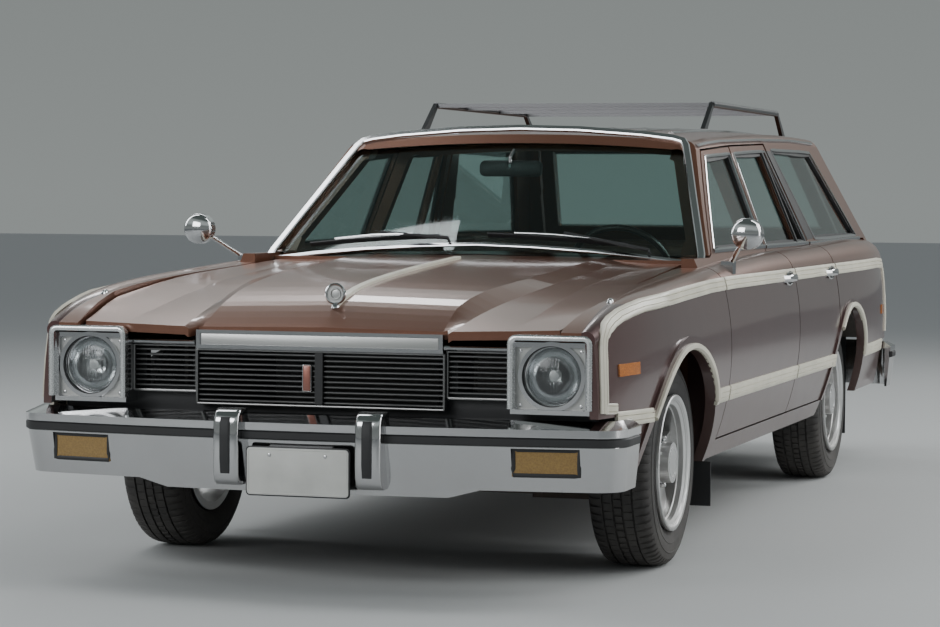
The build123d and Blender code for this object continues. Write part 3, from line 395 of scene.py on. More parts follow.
# %%  Fine grain
grain, n_in, n_out = new_group(
    "fine_grain",
    [("Position", "NodeSocketVector", None), ("Scale", "NodeSocketFloat", 900.0)],
    [("Height", "NodeSocketFloat"), ("Tone", "NodeSocketFloat")])
cells = grain.nodes.new("ShaderNodeTexVoronoi")
grain.links.new(n_in.outputs["Position"], cells.inputs["Vector"])
grain.links.new(n_in.outputs["Scale"], cells.inputs["Scale"])
soft = grain.nodes.new("ShaderNodeTexNoise")
put(soft, Scale=7.0, Detail=5.0)
grain.links.new(n_in.outputs["Position"], soft.inputs["Vector"])
grain.links.new(cells.outputs["Distance"], n_out.inputs["Height"])
grain.links.new(soft.outputs["Fac"], n_out.inputs["Tone"])
print("shader groups:", [g.name for g in bpy.data.node_groups])


# %%  Starting a material
class Finish:
    """A material under construction: its shader, its tree and its position input."""

    def __init__(self, name, colour, roughness, metallic=0.0):
        self.material = bpy.data.materials.new(name)
        self.material.use_nodes = True
        self.tree = self.material.node_tree
        self.shader = self.tree.nodes["Principled BSDF"]
        put(self.shader, Base_Color=(*colour, 1), Roughness=roughness, Metallic=metallic)
        self.place = self.tree.nodes.new("ShaderNodeTexCoord").outputs["Object"]

    def group(self, group, **values):
        """Place a shared group, with its own values."""
        node = self.tree.nodes.new("ShaderNodeGroup")
        node.node_tree = group
        self.tree.links.new(self.place, node.inputs["Position"])
        for label, value in values.items():
            node.inputs[label.replace("_", " ").title()].default_value = value
        return node

    def math(self, operation, a, b=None, clamp=False):
        """A math node in this material."""
        return math_node(self.tree, operation, a, b, clamp)

    def noise(self, scale, detail=4.0, roughness=0.55):
        """A noise value over the surface."""
        node = self.tree.nodes.new("ShaderNodeTexNoise")
        put(node, Scale=scale, Detail=detail, Roughness=roughness)
        self.tree.links.new(self.place, node.inputs["Vector"])
        return node.outputs["Fac"]

    def blend(self, factor, low, high):
        """Mix two colours; each is a colour or a socket."""
        node = self.tree.nodes.new("ShaderNodeMix")
        node.data_type = "RGBA"
        self.tree.links.new(factor, node.inputs["Factor"])
        for slot, value in (("A", low), ("B", high)):
            socket = [s for s in node.inputs if s.name == slot and s.type == "RGBA"][0]
            if isinstance(value, tuple):
                socket.default_value = (*value, 1)
            else:
                self.tree.links.new(value, socket)
        return [s for s in node.outputs if s.type == "RGBA"][0]

    def spread(self, factor, low, high):
        """Map a 0 to 1 value onto a range."""
        node = self.tree.nodes.new("ShaderNodeMapRange")
        put(node, To_Min=low, To_Max=high)
        self.tree.links.new(factor, node.inputs["Value"])
        return node.outputs["Result"]

    def drive(self, label, socket):
        """Link a value to a shader input."""
        self.tree.links.new(socket, self.shader.inputs[label])

    def bump(self, height, strength, distance=0.001):
        """Feed a height into the normal."""
        node = self.tree.nodes.new("ShaderNodeBump")
        put(node, Strength=strength, Distance=distance)
        self.tree.links.new(height, node.inputs["Height"])
        self.tree.links.new(node.outputs["Normal"], self.shader.inputs["Normal"])


# %% [markdown]
# ### Brown metallic paint
#
# The paint is a warm copper brown with fine aluminium flakes under a clear coat.  The flakes
# are a very small Voronoi pattern that shifts the tone a little, and the clear coat is the
# shader's own coat layer, which lays the sharp studio highlights over the soft metallic ones.
# A second tone, darker and a little purple, fills the side between the mouldings: it is mostly
# painted shade of the upright flanks, with a slight purple tint of the paint.

# %%  Paint
def flank_shade_mask(finish):
    """One on the flanks below the upper band, where the paint is darkened as painted shade; nothing elsewhere.
    """
    tree = finish.tree
    axes = tree.nodes.new("ShaderNodeSeparateXYZ")
    tree.links.new(finish.place, axes.inputs[0])
    out = math_node(tree, "GREATER_THAN", math_node(tree, "ABSOLUTE", axes.outputs["X"]), 0.80)
    ahead = math_node(tree, "SUBTRACT", -1.23, axes.outputs["Y"], clamp=True)
    edge = math_node(tree, "SUBTRACT", 0.857, math_node(tree, "MULTIPLY", ahead, 0.030))
    low = math_node(tree, "LESS_THAN", axes.outputs["Z"], edge)
    return math_node(tree, "MULTIPLY", out, low)


def paint_material(name, deep, bright, flank_shade=None, dust=(0.24, 0.21, 0.18)):
    """Metallic paint with flakes, a clear coat, dust low on the body and, when given, a darker flank tone that
    is mostly painted shade.
    """
    finish = Finish(name, deep, 0.38, 0.55)
    flakes = finish.tree.nodes.new("ShaderNodeTexVoronoi")
    put(flakes, Scale=1400.0)
    finish.tree.links.new(finish.place, flakes.inputs["Vector"])
    faded = finish.noise(1.7, 5.0)
    sparkle = finish.math("MULTIPLY", flakes.outputs["Distance"], 0.55)
    tone = finish.math("ADD", sparkle, finish.math("MULTIPLY", faded, 0.5), clamp=True)
    colour = finish.blend(tone, deep, bright)
    # The flank tone is mostly painted shade on the upright sides, with a slight purple tint.
    if flank_shade:
        colour = finish.blend(flank_shade_mask(finish), colour, finish.blend(tone, *flank_shade))
    dirt = finish.group(grime, top=0.85, patch_size=5.0)
    soft_dirt = finish.math("MULTIPLY", dirt.outputs["Mask"], 0.45)
    finish.drive("Base Color", finish.blend(soft_dirt, colour, dust))
    finish.drive("Roughness", finish.spread(dirt.outputs["Mask"], 0.34, 0.62))
    finish.drive("Metallic", finish.spread(dirt.outputs["Mask"], 0.6, 0.2))
    put(finish.shader, Coat_Weight=0.7, Coat_Roughness=0.09)
    return finish.material


# The darker, purplish flank colours are mostly painted shade of the upright sides.
paint = paint_material("copper_brown_paint", (0.088, 0.036, 0.022), (0.245, 0.104, 0.060),
                       flank_shade=((0.048, 0.020, 0.020), (0.120, 0.055, 0.051)))
print("paint:", paint.name)

# %% [markdown]
# ### Bright metal, rubber, glass and plastics
#
# Old chrome is never a perfect mirror: it has fine pitting and a thin film of dust near the
# road.  Rubber is dark grey rather than black and rougher where it is scuffed.  The glass is
# tinted blue-green, thin and clear enough to see the seats.

# %%  Metals
def chrome_material(name, colour=(0.62, 0.62, 0.63), rough=(0.06, 0.22), dust=0.35):
    """Plated metal with pitting and a film of dust near the road."""
    finish = Finish(name, colour, rough[0], 1.0)
    pits = finish.noise(160.0, 6.0)
    film = finish.group(grime, top=0.75, patch_size=9.0)
    film_amount = finish.math("MULTIPLY", film.outputs["Mask"], dust)
    finish.drive("Base Color", finish.blend(film_amount, colour, (0.30, 0.27, 0.23)))
    uneven = finish.math("MULTIPLY", pits, 0.4)
    finish.drive("Roughness", finish.spread(finish.math("ADD", film_amount, uneven, clamp=True), *rough))
    finish.bump(pits, 0.05, 0.0005)
    return finish.material


chrome = chrome_material("bumper_chrome")
bright_trim = chrome_material("bright_trim", (0.68, 0.68, 0.69), (0.10, 0.26), 0.2)
wheel_metal = chrome_material("polished_wheel", (0.76, 0.76, 0.76), (0.28, 0.50), 0.4)


def dull_metal(name, colour, roughness, metallic, rust=0.0):
    """Underbody metal with grime and a little rust."""
    finish = Finish(name, colour, roughness, metallic)
    patch = finish.group(grime, top=1.1, patch_size=14.0)
    finish.drive("Base Color",
                 finish.blend(patch.outputs["Mask"], colour, (0.11 + rust, 0.085 + rust * 0.3, 0.065)))
    finish.drive("Roughness", finish.spread(finish.noise(40.0), roughness - 0.1, roughness + 0.15))
    return finish.material


frame_black = dull_metal("chassis_black", (0.022, 0.022, 0.022), 0.62, 0.2)
exhaust_metal = dull_metal("exhaust_steel", (0.20, 0.185, 0.17), 0.5, 0.8, rust=0.08)
block_metal = dull_metal("engine_cast", (0.07, 0.075, 0.08), 0.6, 0.4)
print("metals made")


# %%  Rubber, plastics and cloth
def moulded(name, colour, roughness, scale=700.0, strength=0.12):
    """Moulded plastic or rubber with a fine grain."""
    finish = Finish(name, colour, roughness)
    skin = finish.group(grain, scale=scale)
    finish.drive("Base Color", finish.blend(skin.outputs["Tone"], tuple(c * 0.75 for c in colour),
            tuple(min(c * 1.35 + 0.004, 1) for c in colour)))
    finish.drive("Roughness", finish.spread(skin.outputs["Tone"], roughness - 0.08, roughness + 0.1))
    finish.bump(skin.outputs["Height"], strength, 0.0006)
    return finish.material


def rubber_material(name, colour, top):
    """Rubber with road dust in its lower part."""
    finish = Finish(name, colour, 0.72)
    dust = finish.group(grime, top=top, patch_size=11.0)
    mix = finish.math("MULTIPLY", dust.outputs["Mask"], 0.55)
    finish.drive("Base Color", finish.blend(mix, colour, (0.115, 0.105, 0.095)))
    finish.drive("Roughness", finish.spread(finish.noise(60.0), 0.62, 0.86))
    finish.bump(finish.noise(420.0, 3.0), 0.15, 0.0006)
    return finish.material


tyre_rubber = rubber_material("tyre_rubber", (0.017, 0.017, 0.018), 0.9)
trim_black = moulded("black_trim", (0.018, 0.018, 0.019), 0.45)
strip_rubber = moulded("bumper_strip_rubber", (0.020, 0.020, 0.021), 0.55, 500.0)
cream = moulded("cream_moulding", (0.62, 0.590, 0.485), 0.36, 300.0, 0.03)
dash_vinyl = moulded("dash_vinyl", (0.040, 0.026, 0.020), 0.55, 1100.0, 0.2)
seat_vinyl = moulded("seat_vinyl", (0.105, 0.060, 0.038), 0.50, 650.0, 0.22)
wheel_plastic = moulded("steering_plastic", (0.030, 0.020, 0.016), 0.35, 900.0, 0.08)
print("rubber and plastics made")


# %%  Glass and lenses
def glass_material(name, colour, alpha_weight, roughness=0.02):
    """Tinted glass."""
    finish = Finish(name, colour, roughness)
    put(finish.shader, IOR=1.45, Transmission_Weight=alpha_weight)
    return finish.material


window_glass = glass_material("window_glass", (0.60, 0.74, 0.72), 1.0)
lamp_glass = glass_material("lamp_glass", (0.90, 0.94, 0.95), 0.96, 0.03)


def lens_material(name, colour, dark):
    """Coloured lens plastic with small prisms."""
    finish = Finish(name, colour, 0.18)
    prisms = finish.tree.nodes.new("ShaderNodeTexVoronoi")
    put(prisms, Scale=190.0)
    finish.tree.links.new(finish.place, prisms.inputs["Vector"])
    finish.drive("Base Color", finish.blend(prisms.outputs["Distance"], dark, colour))
    put(finish.shader, Coat_Weight=0.6)
    finish.bump(prisms.outputs["Distance"], 0.3, 0.001)
    return finish.material


amber = lens_material("amber_lens", (0.62, 0.20, 0.025), (0.30, 0.085, 0.012))
smoked_amber = lens_material("turn_lens", (0.34, 0.21, 0.060), (0.25, 0.15, 0.045))
red = lens_material("red_lens", (0.40, 0.018, 0.014), (0.17, 0.008, 0.008))
print("glass and lenses made")

# %% [markdown]
# ## Finishes for the CAD panels
#
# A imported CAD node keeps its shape, and only its material slots are filled here.  The list
# pairs each finish with the nodes that wear it.

# %%  Dress the CAD nodes
def dress(material, *names):
    """Give CAD nodes a finish."""
    for name in names:
        mesh = nodes[name].data
        if not mesh.materials:
            mesh.materials.append(material)
        for index in range(len(mesh.materials)):
            mesh.materials[index] = material


def sides(*names):
    """Node names with _left and _right."""
    return [f"{name}_{side}" for name in names for side in ("left", "right")]


dress(paint, "roof_panel", "body_sides", "quarter_panels", "front_fenders", "cowl_panel", "hood", "tailgate",
      *sides("door_front", "door_rear"))
dress(chrome, "front_bumper", "rear_bumper", "bumper_guards", *sides("mirror"))
dress(bright_trim, "grille_header", "headlamp_bezels")
dress(window_glass, "windshield", "quarter_glasses", "tailgate_glass", *sides("glass_front", "glass_rear"))
dress(lamp_glass, "headlamps")
dress(amber, "side_markers")
dress(smoked_amber, "turn_lamps")
dress(red, "tail_lamps")
dress(frame_black, "underbody", "cargo_floor", "wheelhouses", "frame_rails", "front_crossmember", "rear_axle",
      "leaf_springs", "drive_shaft", "fuel_tank", *sides("knuckle"))
dress(trim_black, "nose_panel")
dress(exhaust_metal, "exhaust")
dress(block_metal, "engine_block")
dress(strip_rubber, "mud_flaps")
dress(dash_vinyl, "dashboard")
dress(seat_vinyl, "front_seat", "rear_seat")
dress(wheel_plastic, "steering_wheel")
dress(wheel_metal, *sides("rim_front", "rim_rear"))
dress(tyre_rubber, *sides("tyre_front", "tyre_rear"))
print("CAD nodes dressed:", len(nodes))

# %% [markdown]
# ## Cream side mouldings
#
# Two cream bands frame the sides: a wide one under the windows and one above the sills, joined
# by an upright at the fender's front corner, and each wheel opening has a cream lip.  On the
# real car they are extruded plastic with fine grooves, cut at each door gap so that the doors
# can open.  So each band is swept along points found on the metal, once for each body that it
# crosses, and the groove is part of its section.

# %%  Points on the side of the body
def on_side(y, z, reach=0.0):
    """The point on the left side and the way it faces."""
    hit = side_tree.ray_cast(Vector((1.5, y, z)), RIGHT)
    if hit[0] is None:
        return None
    facing = hit[1] if hit[1].x > 0 else -hit[1]
    return hit[0] + facing * reach, facing


def side_run(corners, step=0.03):
    """Points and facings along a line of the side view."""
    path, facing = [], []
    for (y0, z0), (y1, z1) in zip(corners, corners[1:]):
        length = hypot(y1 - y0, z1 - z0)
        count = max(2, int(length / step))
        for i in range(count + 1):
            if path and i == 0:
                continue
            t = i / count
            found = on_side(y0 + (y1 - y0) * t, z0 + (z1 - z0) * t)
            if found:
                path.append(found[0])
                facing.append(found[1])
    return path, facing


def side_strip(name, corners, section, material, body, side=1):
    """A strip on the left side, or its mirror image."""
    path, facing = side_run(corners)
    return sweep(name, on_hand(path, side), on_hand(facing, side), section, material, body)


def grooved(width, height=0.007):
    """A band with two fine grooves along it."""
    h, g = width / 2, 0.0012
    return [(-0.004, -h), (height * 0.6, -h), (height, -h + 0.004), (height, -0.008 - g),
            (height - 0.003, -0.008), (height, -0.008 + g), (height, 0.008 - g), (height - 0.003, 0.008),
            (height, 0.008 + g), (height, h - 0.004), (height * 0.6, h), (-0.004, h)]


# %%  The bands
UPPER = [(-2.05, 0.823), (-1.606, 0.841), (-1.23, 0.853), (-0.90, 0.857), (2.10, 0.857), (2.36, 0.848)]
CORNER = [(-2.394, 0.532), (-2.389, 0.640), (-2.380, 0.715), (-2.371, 0.748), (-2.347, 0.769), (-2.300, 0.786),
          (-2.234, 0.801), (-2.150, 0.813)]
LOWER_RUNS = {"fender": [(-1.232, -1.022)], "quarter": [(1.655, 2.36)]}
SECTIONS = [("body", -2.05, -1.022, "fender"), ("door_front", -1.008, 0.147, "front_door"),
            ("door_rear", 0.163, 0.981, "rear_door"), ("body", 1.000, 2.36, "quarter")]


def height_on(line, y):
    """Height of a line of the side view at y."""
    for (y0, z0), (y1, z1) in zip(line, line[1:]):
        if y0 <= y <= y1:
            return z0 + (z1 - z0) * (y - y0) / (y1 - y0)
    return line[-1][1]


def cut_line(line, start, stop):
    """The part of a line between two values of y."""
    inside = [p for p in line if start < p[0] < stop]
    return [(start, height_on(line, start)), *inside, (stop, height_on(line, stop))]


def body_name(base, side):
    """Body that carries a piece on one side."""
    return base if base == "body" else f"{base}_{'left' if side > 0 else 'right'}"


for hand, side in SIDES:
    for base, start, stop, place in SECTIONS:
        line = (CORNER if place == "fender" else []) + cut_line(UPPER, start, stop)
        side_strip(f"upper_band_{place}_{hand}", line, grooved(0.043), cream, body_name(base, side), side)
    for base, start, stop, place in SECTIONS:
        for low_start, low_stop in LOWER_RUNS.get(place, [(start, min(stop, 0.915))]):
            side_strip(f"lower_band_{place}_{hand}", [(low_start, 0.5), (low_stop, 0.5)], grooved(0.05), cream,
                       body_name(base, side), side)
print("cream bands made")

# %% [markdown]
# ### Arch lips and the corner uprights
#
# The lips follow circles of the side view, so their points come from an angle instead of a
# straight line.  They end where they meet the lower band.

# %%  Arch lips
EDGE_Y, ABOVE_EDGE_Z = -2.318, 0.535
FRONT_ARCH = (-1.615, 0.182, 0.490)
REAR_ARCH = (1.262, 0.305, 0.392)


def arch_points(arch, width, low_z, grow=0.0, step_deg=4.0):
    """Points of the side view round an arch, from its front foot to its rear foot."""
    cy, cz, radius = arch
    r = radius + width / 2 + grow
    foot = degrees(asin((low_z - cz) / r))
    count = int((180 - 2 * foot) / step_deg)
    angles = [foot + (180 - 2 * foot) * i / count for i in range(count + 1)]
    return [(cy - r * cos(radians(a)), cz + r * sin(radians(a))) for a in angles]


for hand, side in SIDES:
    lip = [(-0.004, -0.010), (0.008, -0.010), (0.012, -0.007), (0.010, 0.005), (0.003, 0.010), (-0.004, 0.010)]
    side_strip(f"front_arch_lip_{hand}", arch_points(FRONT_ARCH, 0.020, 0.490), lip, cream, "body", side)
    rear_points = arch_points(REAR_ARCH, 0.020, 0.490)
    side_strip(f"rear_arch_lip_{hand}", [p for p in rear_points if p[0] > 1.0], lip, cream, "body", side)
    edge = [(EDGE_Y + 0.0303 * i, 0.511 - 0.00085 * i) for i in range(11)]
    low_path = [Vector((side_x(y, ABOVE_EDGE_Z) * side, y, z)) for y, z in edge]
    sweep(f"lower_band_front_{hand}", low_path, Vector((side, -0.12, 0)), grooved(0.042), cream)
    side_strip(f"corner_step_{hand}", [(-2.390, 0.545), (-2.318, 0.541)], grooved(0.030), cream, "body", side)
    side_strip(f"tail_upright_{hand}", [(2.372, 0.55), (2.376, 0.80), (2.362, 0.848)], grooved(0.036), cream,
               "body", side)
print("arch lips made")

# %% [markdown]
# ## Bright surround of the windshield
#
# A wide polished moulding frames the glass.  It lies on the pillars and on the roof's front
# edge, so its path is written on the windshield's own surface: a leaning cylinder of 5 m
# radius.  Two numbers place a point on it, the distance across and the distance up the slope.

# %%  Windshield moulding
SCREEN_FOOT = Vector((0, -0.897, 0.930))
SLOPE = Vector((0, 471, 380)).normalized()
INWARD = Vector((0, SLOPE.z, -SLOPE.y))


def on_screen(x, s, lift=0.0):
    """A point of the windshield surface, x across and s up the slope."""
    return SCREEN_FOOT + SLOPE * s + Vector((x, 0, 0)) + INWARD * (x * x / 10.0 - lift)


SCREEN_PATH = [(0.776, 0.035), (0.768, 0.09), (0.735, 0.21), (0.688, 0.38), (0.642, 0.55), (0.612, 0.655),
               (0.596, 0.682), (0.560, 0.692), (0.45, 0.700), (0.22, 0.708), (0.0, 0.711)]
half = [on_screen(x, s, 0.003) for x, s in SCREEN_PATH]
whole = half + [Vector((-p.x, p.y, p.z)) for p in half[-2::-1]]
moulding = [(-0.002, -0.013), (0.006, -0.013), (0.010, -0.009), (0.010, 0.009), (0.006, 0.013), (-0.002, 0.013)]
sweep("windshield_moulding", whole, -INWARD, moulding, bright_trim)
foot = [on_screen(x, 0.042 + 0.02 * (1 - abs(x) / 0.776), 0.003)
        for x in (0.776, 0.6, 0.4, 0.2, 0.0, -0.2, -0.4, -0.6, -0.776)]
sweep("windshield_foot_moulding", foot, -INWARD, [(a * 0.6, b * 0.6) for a, b in moulding], bright_trim)
print("windshield moulding:", len(whole), "points")

# %% [markdown]
# ## Window surrounds, belt strip and drip rail
#
# The upper side of the body leans inwards in a straight line, so a small formula gives its
# distance out at any height, which is smoother than a ray cast on a narrow frame.  Each
# window gets a thin bright edge, cut with its door, and a rubber seal just inside it.

# %%  Side windows
ROOF_LINE = [(-1.150, 1.325), (-0.280, 1.362), (0.500, 1.397), (1.300, 1.413), (2.000, 1.408), (2.520, 1.398)]


def house_x(y, z):
    """How far out the window side of the body is."""
    top = height_on(ROOF_LINE, y) - 0.062
    return 0.812 - 0.162 * (z - 0.890) / (top - 0.890)


WINDOWS = {
    "door_front": [(-0.672, 0.962), (-0.276, 1.276), (0.116, 1.294), (0.120, 0.962)],
    "door_rear": [(0.192, 0.962), (0.196, 1.296), (0.742, 1.312), (0.952, 0.964)],
    "body": [(1.175, 0.974), (0.885, 1.322), (1.690, 1.322), (2.140, 0.976)],
}


def window_loop(corners, inset, step=0.05):
    """Points round a window, drawn in from its corners."""
    cy = sum(p[0] for p in corners) / 4
    cz = sum(p[1] for p in corners) / 4
    loop = []
    for (y0, z0), (y1, z1) in zip(corners, corners[1:] + corners[:1]):
        count = max(2, int(hypot(y1 - y0, z1 - z0) / step))
        for i in range(count):
            y, z = y0 + (y1 - y0) * i / count, z0 + (z1 - z0) * i / count
            along = hypot(y - cy, z - cz)
            y, z = y - (y - cy) / along * inset, z - (z - cz) / along * inset
            loop.append(Vector((house_x(y, z), y, z)))
    return loop


edge_section = [(-0.004, -0.006), (0.003, -0.006), (0.005, -0.002), (0.004, 0.006), (-0.004, 0.006)]
seal_section = [(-0.016, -0.009), (-0.003, -0.009), (-0.003, 0.009), (-0.016, 0.009)]
for hand, side in SIDES:
    for base, corners in WINDOWS.items():
        facing = Vector((side, 0, 0.36))
        for kind, section, inset, material in (("edge", edge_section, -0.004, bright_trim),
                ("seal", seal_section, 0.006, trim_black)):
            loop = on_hand(window_loop(corners, inset), side)
            sweep(f"window_{kind}_{base}_{hand}", loop, facing, section, material, body_name(base, side),
                  closed=True)
print("window surrounds made")


# %%  Belt strip and drip rail
def house_line(corners, side, lift=0.0, step=0.05):
    """Points on the leaning side along a line of the side view."""
    points = []
    for (y0, z0), (y1, z1) in zip(corners, corners[1:]):
        count = max(1, int(hypot(y1 - y0, z1 - z0) / step))
        for i in range(count + 1):
            if points and i == 0:
                continue
            y, z = y0 + (y1 - y0) * i / count, z0 + (z1 - z0) * i / count
            points.append(Vector(((house_x(y, z) + lift) * side, y, z)))
    return points


for hand, side in SIDES:
    for base, start, stop, place in (("door_front", -0.70, 0.147, "front"), ("door_rear", 0.166, 0.992, "rear"),
            ("body", 1.02, 2.20, "quarter")):
        belt = [(-0.003, -0.007), (0.006, -0.007), (0.009, -0.002), (0.006, 0.007), (-0.003, 0.007)]
        sweep(f"belt_strip_{place}_{hand}",
              house_line([(start, 0.955), (stop, 0.957 if base != "body" else 0.962)], side),
              Vector((side, 0, 0.3)), belt, bright_trim, body_name(base, side))
    rail = [(-0.004, -0.008), (0.009, -0.006), (0.012, 0.002), (0.006, 0.007), (-0.004, 0.008)]
    points = house_line([(-0.330, 1.316), (-0.20, 1.326), (0.028, 1.338), (0.665, 1.356), (1.30, 1.366),
                         (1.80, 1.363)], side, -0.002)
    sweep(f"drip_rail_{hand}", points, Vector((side, 0, 0.2)), rail, bright_trim)
print("belt strips and drip rails made")

# %% [markdown]
# ### Black pillars
#
# The posts between the side windows are painted black on the real wagon.  A skin of 1.5 mm
# lies over each of them, because the CAD door and its post are one node with one finish.

# %%  Pillar skins
def house_patch(name, corners, side, body, lift=0.0015, rows=14, columns=3):
    """A thin black skin between four corners of the side view, lying on the pillars."""
    (ya, za), (yb, zb), (yc, zc), (yd, zd) = corners
    points = []
    for depth in (-0.004, lift):
        for r in range(rows + 1):
            t = r / rows
            for c in range(columns + 1):
                s = c / columns
                y = (ya + (yb - ya) * s) * (1 - t) + (yd + (yc - yd) * s) * t
                z = (za + (zb - za) * s) * (1 - t) + (zd + (zc - zd) * s) * t
                points.append(Vector(((house_x(y, z) + depth) * side, y, z)))
    wide, layer = columns + 1, (rows + 1) * (columns + 1)
    faces = []
    for r in range(rows):
        for c in range(columns):
            a = r * wide + c
            faces += [[layer + a, layer + a + 1, layer + a + wide + 1, layer + a + wide],
                      [a, a + wide, a + wide + 1, a + 1]]
    rim = list(range(wide)) + [r * wide + columns for r in range(1, rows + 1)]
    rim += [rows * wide + c for c in range(columns - 1, -1, -1)] + [r * wide for r in range(rows - 1, 0, -1)]
    faces += [[a, b, layer + b, layer + a] for a, b in zip(rim, rim[1:] + rim[:1])]
    return from_faces(name, points, faces, trim_black, body)


for hand, side in SIDES:
    house_patch(f"rear_pillar_skin_{hand}", [(1.016, 0.970), (1.160, 0.976), (0.878, 1.318), (0.800, 1.318)],
                side, "body")
    house_patch(f"front_door_post_skin_{hand}",
                [(0.126, 0.966), (0.144, 0.966), (0.144, 1.300), (0.122, 1.298)], side,
                body_name("door_front", side))
    house_patch(f"rear_door_post_skin_{hand}", [(0.960, 0.970), (0.985, 0.970), (0.776, 1.312), (0.750, 1.312)],
                side, body_name("door_rear", side))
print("pillar skins made")

# %% [markdown]
# ## Hood strip, handles and wipers
#
# A slim cream strip runs up the middle of the hood.  The door handles are chrome pulls over
# a dished cup, and the wipers park low on the glass.

# %%  Hood strip
STRIP_Y = (-2.235, -1.07)
crest = []
for i in range(35):
    y = STRIP_Y[0] + (STRIP_Y[1] - STRIP_Y[0]) * i / 34
    z = top_z(0.0, y)
    if z:
        crest.append(Vector((0, y, z)))
sweep("hood_strip", crest, UP, flat_section(0.024, 0.009), cream, "hood")
print("hood strip:", round(crest[-1].y - crest[0].y, 3), "m long")


# %%  Door handles
def handle(name, y, body, side):
    """A chrome pull with its cup and push button."""
    point, facing = on_side(y, 0.846)
    base = point.x
    pull = [Vector(((base + 0.002) * side, y - 0.085, 0.846)),
            Vector(((base + 0.020) * side, y - 0.070, 0.847)), Vector(((base + 0.027) * side, y - 0.03, 0.848)),
            Vector(((base + 0.027) * side, y + 0.03, 0.848)), Vector(((base + 0.020) * side, y + 0.070, 0.847)),
            Vector(((base + 0.002) * side, y + 0.085, 0.846))]
    bar = [(0.006 * cos(a), 0.013 * sin(a)) for a in (2 * pi * k / 12 for k in range(12))]
    sweep(f"{name}_pull", pull, Vector((side, 0, 0.01)), bar, chrome, body)
    ring = [Vector(((base + 0.0085) * side, y + 0.068 * cos(a), 0.846 + 0.023 * sin(a)))
            for a in (2 * pi * k / 28 for k in range(28))]
    sweep(f"{name}_cup_rim", ring, Vector((side, 0, 0)), round_section(0.0035, 8), chrome, body, closed=True)
    cup = bpy.data.meshes.new(f"{name}_cup")
    points = [((base + 0.0075) * side, y, 0.846)] + [tuple(p) for p in ring]
    cup.from_pydata([tuple(p) for p in points], [], [(0, 1 + k, 1 + (k + 1) % 28) for k in range(28)])
    keep_mesh(f"{name}_cup", cup, trim_black, body)


for hand, side in SIDES:
    handle(f"front_handle_{hand}", 0.015, body_name("door_front", side), side)
    handle(f"rear_handle_{hand}", 0.860, body_name("door_rear", side), side)
print("handles made")


# %%  Wipers
def wiper(name, pivot, elbow, blade_ends):
    """Arm and blade lying on the glass, given as (x, s) pairs on the windshield."""
    arm = [on_screen(*pivot, 0.012), on_screen(*pivot, 0.030), on_screen(*elbow, 0.030)]
    sweep(f"{name}_arm", arm, -INWARD,
          [(0.003, -0.006), (0.006, 0), (0.003, 0.006), (-0.003, 0.006), (-0.003, -0.006)], trim_black)
    (xa, sa), (xb, sb) = blade_ends
    blade = [on_screen(xa + (xb - xa) * t, sa + (sb - sa) * t, 0.016) for t in (i / 10 for i in range(11))]
    sweep(f"{name}_blade", blade, -INWARD,
          [(-0.010, -0.002), (-0.010, 0.002), (0.0, 0.004), (0.007, 0.003), (0.007, -0.003), (0.0, -0.004)],
          trim_black)
    yoke = [on_screen(xa + (xb - xa) * t, sa + (sb - sa) * t, 0.026 + 0.006 * (1 - abs(2 * t - 1)))
            for t in (0.2, 0.35, 0.5, 0.65, 0.8)]
    sweep(f"{name}_yoke", yoke, -INWARD, flat_section(0.006, 0.004), bright_trim)


wiper("wiper_left", (0.60, 0.055), (0.30, 0.105), ((0.52, 0.085), (0.03, 0.100)))
wiper("wiper_right", (-0.10, 0.065), (-0.36, 0.105), ((-0.14, 0.092), (-0.62, 0.085)))
print("wipers made")

# %% [markdown]
# ## Pieces that repeat
#
# Grille edges, wheel nuts, tread blocks, vent louvres and lamp ribs are one shape many times.
# Two Geometry Nodes groups place them: one along a line and one round the X axis.  Each group
# realizes its instances, so what stays in the file is a plain mesh.  Screws are copied one by one.

# %%  Geometry Nodes groups
def repeat_group(name, spread):
    """A node group that repeats its geometry; spread is 'line' or 'round'."""
    group = bpy.data.node_groups.new(name, "GeometryNodeTree")
    face = group.interface
    face.new_socket("Geometry", in_out="INPUT", socket_type="NodeSocketGeometry")
    face.new_socket("Count", in_out="INPUT", socket_type="NodeSocketInt")
    if spread == "line":
        face.new_socket("Step", in_out="INPUT", socket_type="NodeSocketVector")
    face.new_socket("Finish", in_out="INPUT", socket_type="NodeSocketMaterial")
    face.new_socket("Geometry", in_out="OUTPUT", socket_type="NodeSocketGeometry")
    add_node = group.nodes.new
    link = group.links.new
    entry, leave = add_node("NodeGroupInput"), add_node("NodeGroupOutput")
    line = add_node("GeometryNodeMeshLine")
    link(entry.outputs["Count"], line.inputs["Count"])
    copies = add_node("GeometryNodeInstanceOnPoints")
    link(line.outputs[0], copies.inputs["Points"])
    link(entry.outputs["Geometry"], copies.inputs["Instance"])
    if spread == "line":
        link(entry.outputs["Step"], line.inputs["Offset"])
    else:
        line.inputs["Offset"].default_value = (0, 0, 0)
        index = add_node("GeometryNodeInputIndex")
        share = add_node("ShaderNodeMath")
        share.operation = "DIVIDE"
        link(index.outputs[0], share.inputs[0])
        link(entry.outputs["Count"], share.inputs[1])
        turn = add_node("ShaderNodeMath")
        turn.operation = "MULTIPLY"
        turn.inputs[1].default_value = 2 * pi
        link(share.outputs[0], turn.inputs[0])
        angles = add_node("ShaderNodeCombineXYZ")
        link(turn.outputs[0], angles.inputs["X"])
        link(angles.outputs[0], copies.inputs["Rotation"])
    real = add_node("GeometryNodeRealizeInstances")
    link(copies.outputs[0], real.inputs[0])
    coat = add_node("GeometryNodeSetMaterial")
    link(real.outputs[0], coat.inputs["Geometry"])
    link(entry.outputs["Finish"], coat.inputs["Material"])
    link(coat.outputs[0], leave.inputs["Geometry"])
    return group


repeat_line = repeat_group("repeat_along_line", "line")
repeat_round = repeat_group("repeat_round_axle", "round")
print("repeat groups:", repeat_line.name, repeat_round.name)


